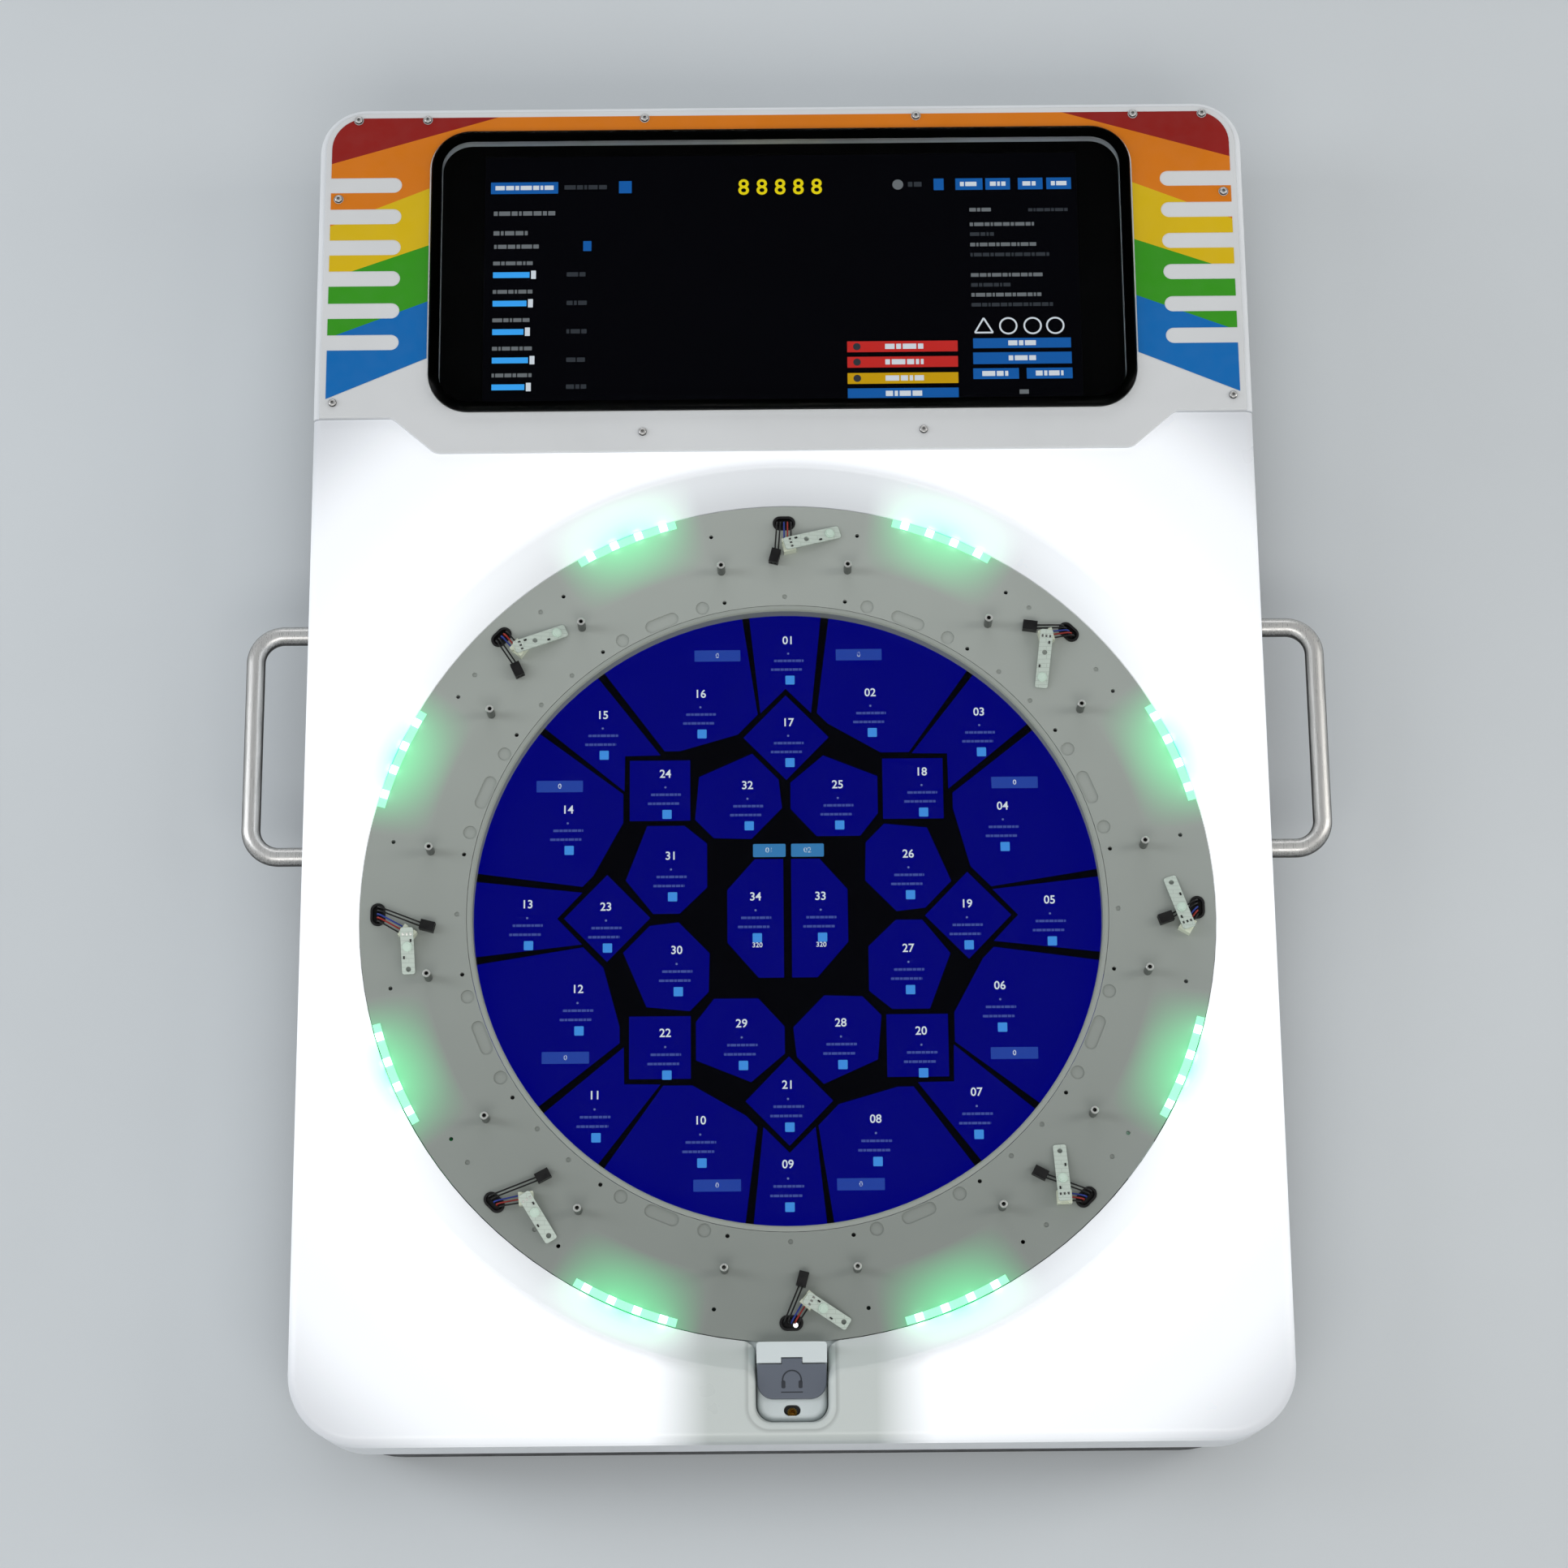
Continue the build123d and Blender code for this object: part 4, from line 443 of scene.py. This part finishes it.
def makeShaders():
    s = {}
    s["cover"] = coverShader()
    s["housing"] = plastic("housingPlastic", (240, 243, 246), 0.36, grain=300, depth=0.00003)
    s["panel"] = plastic("panelPlastic", (222, 224, 225), 0.42, grain=700, depth=0.00003)
    s["frame"] = coated("frameCoat", (240, 243, 246), 0.4)
    s["tray"] = coated("trayCoat", (26, 26, 29), 0.5)
    s["plate"] = plateShader()
    s["pod"] = plastic("podPlastic", (216, 225, 226), 0.4)
    s["flap"] = plastic("flapPlastic", (100, 107, 119), 0.5, grain=1600, depth=0.00006)
    for key, colour in vinyls.items():
        s[key] = plastic("vinyl" + key.capitalize(), colour, 0.38, grain=500, depth=0.00002, blotch=16)
    s["mask"] = plastic("maskPaint", (7, 7, 8), 0.9, grain=500, depth=0.00002, Specular_IOR_Level=0.1)
    s["window"] = clear("windowGlass", (236, 240, 240))
    s["touch"] = clear("touchGlass", (242, 248, 246))
    s["cell"] = emitter("screenDark", (4, 4, 7), 1.0, (4, 4, 6))
    s["trim"] = trimShader()
    s["zinc"] = brushed("zincSteel", (176, 178, 180), 0.36, "X")
    s["pan"] = brushed("panAluminium", (186, 188, 190), 0.4, "X")
    s["steel"] = barShader("brushedBar", (70, 69, 67), (236, 235, 232))
    s["nickel"] = barShader("nickelPost", (96, 100, 96), (232, 235, 230))
    s["chrome"] = barShader("screwChrome", (58, 58, 58), (238, 237, 235))
    s["gold"] = brushed("jackGold", (222, 176, 84), 0.22, "Z")
    s["rubber"] = cast("blackRubber", (22, 22, 23), 0.75)
    s["black"] = cast("blackMoulding", (20, 20, 21), 0.5, 1500)
    s["fan"] = cast("fanMoulding", (30, 31, 33), 0.45, 1500)
    s["cream"] = plastic("connectorNylon", (216, 222, 202), 0.45, blotch=40)
    s["wireBlack"] = cast("wireBlack", (18, 18, 19), 0.5)
    s["wireRed"] = cast("wireRed", (150, 34, 24), 0.5)
    s["wireBlue"] = cast("wireBlue", (28, 52, 140), 0.5)
    s["whiteBoard"] = board("whiteBoard", (196, 208, 198), (182, 194, 184), 0.35)
    s["greenBoard"] = board("greenBoard", (18, 84, 44), (32, 122, 66), 0.28)
    s["lamp"] = plastic("lampLens", (206, 226, 212), 0.25, blotch=120)
    s["lightOn"] = emitter("lightOn", (190, 255, 225), 3.0, (230, 240, 232))
    s["lightStrip"] = emitter("lightStrip", (165, 255, 212), 1.0, (90, 130, 106))
    s["stripOn"] = emitter("stripOn", (255, 255, 250), 4.0, (236, 238, 236))
    s["supply"] = brushed("supplyCase", (180, 182, 184), 0.42, "Y")
    s["shell"] = brushed("socketShell", (170, 172, 174), 0.3, "X")
    s["paintedPortLight"] = emitter("paintedPortLight", (246, 250, 255), 1.2, (230, 234, 238))
    s["solder"] = brushed("solder", (198, 200, 196), 0.3, "X")
    s["cone"] = cast("speakerCone", (34, 34, 36), 0.65, 700)
    for key, (colour, strength) in screenInks.items():
        s[key] = emitter("ink" + key[0].upper() + key[1:], colour, strength)
    s["sign"] = plastic("signPrint", (52, 56, 64), 0.5)
    return {key: m.material for key, m in s.items()}


# What each node is made of
finishes = {
    "cover": ["front_cover"], "housing": ["upper_housing"], "panel": ["top_panel"],
    "frame": ["side_rail_left", "side_rail_right", "lower_frame", "upper_frame"],
    "tray": ["rear_tray"], "plate": ["ring_plate"], "pod": ["headphone_pod"], "flap": ["headphone_flap"],
    "red": ["decal_red"], "orange": ["decal_orange"], "yellow": ["decal_yellow"],
    "green": ["decal_green"], "blue": ["decal_blue"], "mask": ["display_mask"],
    "window": ["display_window"], "touch": ["touch_glass"], "cell": ["screen_cell"], "trim": ["screen_trim"],
    "zinc": ["crossbars", "screen_bezel", "pod_bracket", "rear_screws", "standoff_screws",
             "handle_screws", "cover_posts", "flap_pin"],
    "pan": ["screen_backlight"], "steel": ["handle_left", "handle_right", "handle_flanges"],
    "nickel": ["button_standoffs"], "chrome": ["panel_screws"], "gold": ["headphone_jack", "tray_inserts"],
    "rubber": ["feet", "port_grommets"],
    "black": ["port_sockets", "loose_plugs", "board_parts", "power_inlet", "power_rocker"],
    "fan": ["fan_frames", "fan_rotor_left", "fan_rotor_right"], "cream": ["lead_connectors"],
    "wireBlack": ["leads_black"], "wireRed": ["leads_red"], "wireBlue": ["leads_blue"],
    "whiteBoard": ["lamp_boards"], "lightStrip": ["ring_light_strips"], "greenBoard": ["circuit_boards"],
    "lamp": ["board_lamps"], "lightOn": ["ring_lights"], "stripOn": ["body_lights"],
    "supply": ["power_supply"], "shell": ["rear_sockets"], "cone": ["speakers"],
}
smoothAngle = 32


def dressNodes():
    dressed = set()
    for key, names in finishes.items():
        for name in names:
            obj = nodes[name]
            obj.data.materials.clear()
            obj.data.materials.append(shaders[key])
            obj.data.shade_smooth()
            obj.data.set_sharp_from_angle(angle=math.radians(smoothAngle))
            dressed.add(name)
    print("dressed nodes:", len(dressed), "left:", sorted(set(nodes) - dressed))


# Mesh helpers for the pieces drawn here

def finishMesh(mesh, name, shader, body="root"):
    bmesh.ops.recalc_face_normals(mesh, faces=mesh.faces)
    data = bpy.data.meshes.new(name)
    mesh.to_mesh(data)
    mesh.free()
    data.materials.append(shaders[shader])
    obj = addObject(name, data)
    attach(obj, body)


# Collects thin flat shapes, in mm, into one mesh.
class Plates:
    def __init__(self, level, thick=0.12):
        self.mesh = bmesh.new()
        self.level = level
        self.thick = thick

    def outline(self, points):
        low = [self.mesh.verts.new((x * mm, y * mm, self.level * mm)) for x, y in points]
        high = [self.mesh.verts.new((x * mm, y * mm, (self.level + self.thick) * mm)) for x, y in points]
        count = len(points)
        self.mesh.faces.new(high)
        self.mesh.faces.new(list(reversed(low)))
        for i in range(count):
            k = (i + 1) % count
            self.mesh.faces.new((low[i], low[k], high[k], high[i]))

    def bar(self, x0, y0, x1, y1):
        self.outline([(x0, y0), (x1, y0), (x1, y1), (x0, y1)])

    def pill(self, x0, y0, x1, y1, radius):
        points = []
        for cx, cy, start in ((x1 - radius, y0 + radius, -90), (x1 - radius, y1 - radius, 0),
                              (x0 + radius, y1 - radius, 90), (x0 + radius, y0 + radius, 180)):
            for step in range(5):
                a = math.radians(start + step * 22.5)
                points.append((cx + radius * math.cos(a), cy + radius * math.sin(a)))
        self.outline(points)

    def disc(self, x, y, radius, count=20):
        turn = [2 * math.pi * i / count for i in range(count)]
        self.outline([(x + radius * math.cos(a), y + radius * math.sin(a)) for a in turn])

    # A ring, or part of one, made of short pieces.
    def band(self, x, y, radius, width, count=32, start=0.0, end=360.0):
        full = end - start >= 360
        for i in range(count):
            a = math.radians(start + (end - start) * i / count)
            b = math.radians(start + (end - start) * (i + (1.0 if full else 1.02)) / count)
            self.outline([(x + r * math.cos(t), y + r * math.sin(t))
                          for r, t in ((radius - width, a), (radius, a), (radius, b), (radius - width, b))])

    # Figures in the built-in face, centred on a point.
    def words(self, text, x, y, size):
        data = bpy.data.curves.new("figures", "FONT")
        data.body = text
        data.size = size * mm
        data.align_x, data.align_y = "CENTER", "CENTER"
        data.extrude = self.thick * mm / 2
        data.resolution_u = 3
        data.offset = size * mm * 0.012  # a little bolder
        obj = addObject("figures", data)
        obj.location = (x * mm, y * mm, (self.level + self.thick / 2) * mm)
        bpy.context.view_layer.update()
        mesh = bpy.data.meshes.new_from_object(obj.evaluated_get(bpy.context.evaluated_depsgraph_get()))
        mesh.transform(obj.matrix_world)
        self.mesh.from_mesh(mesh)
        bpy.data.meshes.remove(mesh)
        bpy.data.objects.remove(obj)
        bpy.data.curves.remove(data)

    def finish(self, name, shader, slotName, body="root"):
        finishMesh(self.mesh, name, shader, body)


# Round screen: 34 touch zones with a number, a dot, two lines and a small key each, in mm
roundScreen = {
    "level": 74.05,
    "markRise": 0.2,  # how far marks stand over the zones
    "stations": 8,
    "grow": (1.008, 1.04),  # the picture is a little taller than it is wide
    "figureSize": 7.4,
    "dotDrop": 8.6, "dotRadius": 0.7,
    "lines": [(-13.4, -9.0, 9.8), (-19.2, -11.0, 8.6)],  # drop, left end, right end
    "lineHeight": 1.5, "dashes": (2.6, 1.7, 3.4, 2.1), "dashGap": 0.45,
    "keyDrop": 26.2, "keyHalf": 2.9, "keyAside": 1.0,
    "tagHalf": (14.6, 3.7), "tagSize": 4.6,
    "buttons": [("01", -21.3, -0.9), ("02", 2.6, 23.1)], "buttonY": (-64.0, -55.6), "buttonSize": 5.0,
    "counts": [("320", -19.0, -120.5), ("320", 20.8, -120.5)], "countSize": 4.4,
}
zoneShapes = {
    "square": [(0, 138.5), (26.7, 111.8), (0, 85.1), (-26.7, 111.8)],
    "wedge": [(-24.1, 202.0), (24.1, 202.0), (15.9, 127.3), (0, 142.8), (-15.9, 127.3)],
    "outer": [(29.4, 200.5), (19.6, 127.2), (26.5, 120.4), (59.2, 102.0),
              (77.0, 102.0), (122.0, 163.5), (80.0, 190.0)],
    "inner": [(23.2, 100.3), (56.9, 87.0), (56.9, 63.8), (45.7, 49.8), (18.6, 49.8), (2.5, 66.9), (2.5, 83.3)],
    "middle": [(2.5, 35.7), (20.1, 35.7), (37.3, 16.7), (37.3, -15.7), (18.1, -37.2), (2.5, -37.2)],
}
zoneFigures = [
    (1.9, 77.9), (53.7, 42.8), (122.5, 29.4), (135.9, -32.4), (163.8, -93.3), (131.4, -147.6),
    (115.3, -214.4), (53.0, -230.6), (-1.2, -258.2), (-54.9, -230.6), (-119.9, -214.4), (-130.8, -147.6),
    (-162.6, -93.3), (-137.7, -32.4), (-116.0, 29.4), (-54.1, 42.8), (1.4, 23.5), (85.2, -9.6),
    (111.9, -95.3), (82.0, -175.8), (-0.8, -208.9), (-76.4, -175.8), (-113.4, -95.3), (-76.3, -9.6),
    (32.3, -17.5), (76.0, -62.9), (74.9, -123.4), (32.3, -170.2), (-29.1, -170.2), (-69.3, -123.4),
    (-72.8, -62.9), (-24.6, -17.5), (20.7, -89.6), (-20.0, -89.6),
]
zoneTags = [
    (46.8, 68.2), (143.9, -17.0), (139.4, -190.1), (43.4, -270.7),
    (-44.6, -270.7), (-138.1, -190.6), (-142.9, -17.0), (-43.2, 68.2),
]


def turned(points, angle):
    c, s = math.cos(math.radians(angle)), math.sin(math.radians(angle))
    return [(x * c + y * s, y * c - x * s) for x, y in points]


def onScreen(x, y):
    gx, gy = roundScreen["grow"]
    return ringCentre[0] + x * gx, ringCentre[1] + y * gy


def makeRoundScreen():
    d = roundScreen
    zones = Plates(d["level"])
    for index in range(d["stations"]):
        for shape in ("square", "wedge", "outer", "inner"):
            points = turned(zoneShapes[shape], index * 360 / d["stations"])
            zones.outline([onScreen(x, y) for x, y in points])
    for side in (1, -1):
        points = [(side * x, y) for x, y in zoneShapes["middle"]]
        zones.outline([onScreen(x, y) for x, y in (points if side > 0 else reversed(points))])
    zones.finish("touchZones", "zone", "screen_glass")

    figures, dots, lines, keys, tags, buttons = (Plates(d["level"] + d["markRise"]) for _ in range(6))
    high, half = d["lineHeight"] / 2, d["keyHalf"]
    for number, (x, y) in enumerate(zoneFigures, 1):
        figures.words("%02d" % number, x, y, d["figureSize"])
        dots.disc(x, y - d["dotDrop"], d["dotRadius"], 8)
        for drop, left, right in d["lines"]:
            at, end, step = x + left, x + right, 0
            while at < end:  # short dashes of uneven length
                wide = d["dashes"][(number + step) % 4]
                lines.bar(at, y + drop - high, min(at + wide, end), y + drop + high)
                at += wide + d["dashGap"]
                step += 1
        middle, low = x + d["keyAside"], y - d["keyDrop"]
        keys.pill(middle - half, low - half, middle + half, low + half, 0.5)
    w, h = d["tagHalf"]
    for x, y in zoneTags:
        tags.bar(x - w, y - h, x + w, y + h)
        figures.words("0", x, y, d["tagSize"])
    y0, y1 = d["buttonY"]
    for text, x0, x1 in d["buttons"]:
        buttons.pill(x0, y0, x1, y1, 0.8)
        figures.words(text, (x0 + x1) / 2, (y0 + y1) / 2, d["buttonSize"])
    for text, x, y in d["counts"]:
        figures.words(text, x, y, d["countSize"])
    figures.finish("zoneFigures", "figure", "screen_glass")
    dots.finish("zoneDots", "dim", "screen_glass")
    lines.finish("zoneLines", "line", "screen_glass")
    keys.finish("zoneKeys", "key", "screen_glass")
    tags.finish("zoneTags", "tag", "screen_glass")
    buttons.finish("screenButtons", "button", "screen_glass")
    print("round screen drawn")


# Upper display: a plain settings page with figures and bars only, in mm
upperDisplay = {
    "level": 74.05,
    "markRise": 0.2,
    "title": ("8 8 8 8 8", -0.5, 391.6, 15.5),  # text, middle, height of the figures
    "sliderRows": (331, 310.9, 290.9, 271.0, 252.3),
    "sliderLeft": -189.5,
    "sliderFill": (24.0, 22.2, 20.4, 23.6, 21.4),
    "sliderHalf": 2.0, "knob": (1.0, 4.2, 2.9),
    "stackX": (42.3, 114.4),
    "stackRows": (("red", 274.6, 282.1), ("red", 263.8, 271.3), ("yellow", 252.5, 260.0), ("blue", 241.9, 249.3)),
    "rightKeys": (
        (124.6, 276.6, 188.4, 283.5), (124.4, 265.5, 188.6, 273.6),
        (124.2, 255.1, 153.9, 262.5), (159.0, 255.1, 188.8, 262.5),
    ),
    "topKeys": (
        (-191.6, 388.8, -147.2, 397.0), (-107.0, 388.6, -98.6, 397.2), (101.0, 388.8, 107.6, 397.0),
        (115.4, 388.8, 133.3, 397.0), (135.2, 388.8, 151.5, 397.0),
        (156.7, 388.8, 173.0, 397.0), (175.5, 388.8, 191.8, 397.0),
    ),
    "smallKey": (-130.4, 347.6, -125.0, 354.6),
    "knobDisc": (77.3, 392.9, 3.6),
    "markers": (131.8, 147.8, 163.7, 178.5), "markerY": 292.0, "markerRadius": 6.0, "markerLine": 1.1,
    # placeholder lines: shade, left, right, height on the page, size, seed
    "lines": (
        ("grey", -189.5, -149, 374.6, 3.0, 1), ("grey", -189.5, -167, 360.6, 3.0, 3),
        ("grey", -189.0, -158, 351.0, 2.8, 4), ("dim", -143.0, -115, 393.0, 3.0, 2),
        ("dim", 84.0, 93.0, 393.0, 3.4, 1), ("grey", 124.2, 139, 374.4, 2.5, 0),
        ("grey", 124.2, 168, 364.0, 2.5, 1), ("dim", 124.2, 140, 357.0, 2.5, 2),
        ("grey", 124.2, 168, 349.6, 2.5, 3), ("dim", 124.2, 176, 342.4, 2.5, 4),
        ("grey", 124.2, 172, 328.0, 2.5, 5), ("dim", 124.2, 150, 321.0, 2.5, 6),
        ("grey", 124.2, 170, 314.0, 2.5, 7), ("dim", 124.2, 178, 307.0, 2.5, 8),
        ("dim", 163.0, 189.0, 374.0, 2.2, 3), ("grey", 154.0, 160.0, 246.0, 3.0, 2),
    ),
}


# A line of placeholder words: bars of uneven length.
def dashes(plates, x0, x1, y, height, seed):
    at = x0
    step = seed
    while at < x1 - 1:
        wide = (5.2, 2.6, 7.4, 3.9, 1.8, 6.1)[step % 6] * height / 3.0
        plates.bar(at, y - height / 2, min(at + wide, x1), y + height / 2)
        at += wide + height * 0.3
        step += 1


# One side of the small triangle, between two of its corners.
def triangleSide(plates, x, y, size, line, start, end):
    ax, ay = x + size * math.cos(math.radians(start)), y + size * math.sin(math.radians(start))
    bx, by = x + size * math.cos(math.radians(end)), y + size * math.sin(math.radians(end))
    side = Vector((by - ay, ax - bx)).normalized() * line / 2
    plates.outline([(ax - side.x, ay - side.y), (ax + side.x, ay + side.y),
                    (bx + side.x, by + side.y), (bx - side.x, by - side.y)])


def makeUpperDisplay():
    d = upperDisplay
    white, grey, dim, knobs = (Plates(d["level"] + d["markRise"]) for _ in range(4))
    fill, red, yellow, blue, title = (Plates(d["level"]) for _ in range(5))
    stacks = {"red": red, "yellow": yellow, "blue": blue}
    title.words(*d["title"])
    left, half = d["sliderLeft"], d["sliderHalf"]
    knobStart, knobEnd, knobHalf = d["knob"]
    for index, y in enumerate(d["sliderRows"]):
        end = left + d["sliderFill"][index]
        fill.bar(left, y - half, end, y + half)
        knobs.bar(end + knobStart, y - knobHalf, end + knobEnd, y + knobHalf)
        dashes(grey, left, left + 26, y + 8.2, 2.6, index)
        dashes(dim, -141.0, -127.8, y, 3.0, index + 2)
    blue.bar(*d["smallKey"])
    for x0, y0, x1, y1 in d["topKeys"]:
        blue.bar(x0, y0, x1, y1)
        if x1 - x0 > 12:
            dashes(white, x0 + 3, x1 - 3, (y0 + y1) / 2, 3.0, int(abs(x0)))
    grey.disc(*d["knobDisc"])
    for index, (key, y0, y1) in enumerate(d["stackRows"]):
        stacks[key].bar(d["stackX"][0], y0, d["stackX"][1], y1)
        middle = (y0 + y1) / 2
        dashes(white, 67.0, 92.0, middle, 3.6, index)
        if key != "blue":
            dim.disc(48.6, middle, 2.5)
    for index, (x0, y0, x1, y1) in enumerate(d["rightKeys"]):
        blue.bar(x0, y0, x1, y1)
        middle = (x0 + x1) / 2
        dashes(white, middle - 9, middle + 9, (y0 + y1) / 2, 3.4, index)
    first, *rest = d["markers"]
    for start in (90, 210, 330):
        triangleSide(white, first, d["markerY"] - 1.2, 6.8, d["markerLine"], start, start + 120)
    for x in rest:
        white.band(x, d["markerY"], d["markerRadius"], d["markerLine"])
    for shade, x0, x1, y, height, seed in d["lines"]:
        dashes(grey if shade == "grey" else dim, x0, x1, y, height, seed)
    white.finish("displayKeyMarks", "figure", "screen_glass")
    grey.finish("displayLines", "greyLine", "screen_glass")
    dim.finish("displayFaintLines", "faint", "screen_glass")
    fill.finish("sliderFills", "slider", "screen_glass")
    knobs.finish("sliderKnobs", "figure", "screen_glass")
    red.finish("redKeys", "redKey", "screen_glass")
    yellow.finish("yellowKeys", "yellowKey", "screen_glass")
    blue.finish("blueKeys", "blueKey", "screen_glass")
    title.finish("displayTitle", "title", "screen_glass")
    print("upper display drawn")


# Printed headphone sign on the flap, in mm
flapSign = {
    "centre": (0.0, -391.6), "level": 103.98, "thick": 0.06,
    "radius": 6.0, "line": 0.9, "sweep": (-8, 188),
    "pad": (5.1, 1.2, -5.0, -0.4),  # aside, half width, bottom and top of an ear pad
    "bar": (6.5, -7.6, -6.9),
}


def makeFlapSign():
    d = flapSign
    sign = Plates(d["level"], d["thick"])
    x, y = d["centre"]
    sign.band(x, y, d["radius"], d["line"], 20, *d["sweep"])
    aside, half, low, high = d["pad"]
    for pad in (x - aside, x + aside):
        sign.pill(pad - half, y + low, pad + half, y + high, 0.8)
    half, low, high = d["bar"]
    sign.bar(x - half, y + low, x + half, y + high)
    sign.finish("flapSign", "sign", "grey_flap", "flap")
    print("flap sign drawn")


# Black liner in the headphone recess, with a window for the jack's gold collar
jackLiner = {
    "centre": (0.0, -409.3), "level": 97.72, "thick": 0.5,
    "half": (4.85, 3.05), "hole": 2.95, "jackY": -410.4, "pieces": 40,
}


def makeJackLiner():
    d = jackLiner
    liner = Plates(d["level"], d["thick"])
    x, y = d["centre"]
    w, h = d["half"]
    inner, outer = [], []
    for i in range(d["pieces"]):
        a = 2 * math.pi * i / d["pieces"]
        dx, dy = math.cos(a), math.sin(a)
        inner.append((x + d["hole"] * dx, d["jackY"] + d["hole"] * dy))
        middle = max(h - w, min(w - h, dx * w))  # middle of the slot's round end
        outer.append((x + middle + dx * h, y + dy * h))
    for i in range(d["pieces"]):
        k = (i + 1) % d["pieces"]
        if inner[i][1] > y - h and inner[k][1] > y - h:  # the hole runs past the slot's lower side
            liner.outline([inner[i], outer[i], outer[k], inner[k]])
    liner.finish("jackLiner", "black", "black_plastic")
    print("jack liner made")


# Small parts on each loose lamp board: three solder pads and two chips, in mm
boardParts = {
    # ends of each board from the ring's middle, the raised one first
    "ends": [((3, 238), (36, 248)), ((165, 176), (161, 142)), ((247, -12), (237, 20)), ((166, -180), (164, -147)),
             ((11, -241), (35, -256)), ((-160, -178), (-144, -204)), ((-235, -13), (-234, -39)),
             ((-168, 171), (-138, 184))],
    "plateTop": 90.0, "rise": 6.5, "support": 6.02, "boardThick": 1.2,
    "pads": [(1.2, -2.4), (1.2, 0.0), (1.2, 2.4)], "padSize": (1.6, 1.2, 0.12),
    "chipStart": (5.2, 2.2), "chipShare": 0.6, "chipAcross": -2.4, "chipSize": (1.8, 1.0, 0.5),
}
boxFaces = ((0, 1, 3, 2), (4, 6, 7, 5), (0, 4, 5, 1), (2, 3, 7, 6), (0, 2, 6, 4), (1, 5, 7, 3))


# A point on a leaning lamp board: along and across it, and above its face.
def onBoard(near, far, along, across, up):
    d = boardParts
    length = math.hypot(far[0] - near[0], far[1] - near[1])
    rise = d["rise"] * length / (length - d["support"])
    forward = Vector((far[0] - near[0], far[1] - near[1], -rise)).normalized()
    side = Vector((near[1] - far[1], far[0] - near[0], 0)).normalized()
    normal = forward.cross(side)
    start = Vector((near[0], near[1] + ringCentre[1], d["plateTop"] + rise)) + normal * d["boardThick"]
    return start + forward * along + side * across + normal * up


def addBox(mesh, near, far, along, across, size):
    corners = [onBoard(near, far, along + i * size[0] / 2, across + j * size[1] / 2, k * size[2]) * mm
               for k in (0, 1) for j in (-1, 1) for i in (-1, 1)]
    v = [mesh.verts.new(c) for c in corners]
    for face in boxFaces:
        mesh.faces.new([v[n] for n in face])


def makeBoardParts():
    d = boardParts
    pads, chips = bmesh.new(), bmesh.new()
    for near, far in d["ends"]:
        length = math.hypot(far[0] - near[0], far[1] - near[1])
        for along, across in d["pads"]:
            addBox(pads, near, far, along, across, d["padSize"])
        for along, across in (d["chipStart"], (length * d["chipShare"], d["chipAcross"])):
            addBox(chips, near, far, along, across, d["chipSize"])
    finishMesh(pads, "boardPads", "solder")
    finishMesh(chips, "boardChips", "black")
    print("board parts made")


# Black discs behind the small holes nearest the screen, painted shade that keeps its light out of them
holeShadeDiscs = {
    "stations": 8, "circle": 204.8, "angle": 10.75, "radius": 2.0, "level": 86.85, "thick": 0.12,
    "litPort": (2.6, -357.6, 1.5), "litLevel": 88.05,  # painted light: a glowing patch beside the plug in the lowest port
}


def makeHoleShadeDiscs():
    d = holeShadeDiscs
    backs = Plates(d["level"], d["thick"])
    for station in range(d["stations"]):
        for side in (-1, 1):
            a = math.radians(station * 360 / d["stations"] + side * d["angle"])
            backs.disc(d["circle"] * math.cos(a), ringCentre[1] + d["circle"] * math.sin(a), d["radius"])
    backs.finish("holeShadeDiscs", "black", "black_plastic")
    patch = Plates(d["litLevel"], d["thick"])
    patch.disc(*d["litPort"])
    patch.finish("paintedPortLight", "paintedPortLight", "white_lamp")
    print("hole backs made")


# Floor

def makeFloor():
    half = room["floorSize"] / 2
    data = bpy.data.meshes.new("floor")
    data.from_pydata([(-half, -half, 0), (half, -half, 0), (half, half, 0), (-half, half, 0)], [], [(0, 1, 2, 3)])
    obj = addObject("floor", data)
    data.materials.append(plastic("floorPaper", room["floorColour"], 0.9, grain=300, blotch=1.5).material)


makeCamera()
makeLights()
makeWorld()
makeFloor()
print("camera and room ready")
shaders = makeShaders()
print("materials ready:", len(shaders))
dressNodes()
makeRoundScreen()
makeUpperDisplay()
makeFlapSign()
makeJackLiner()
makeBoardParts()
makeHoleShadeDiscs()
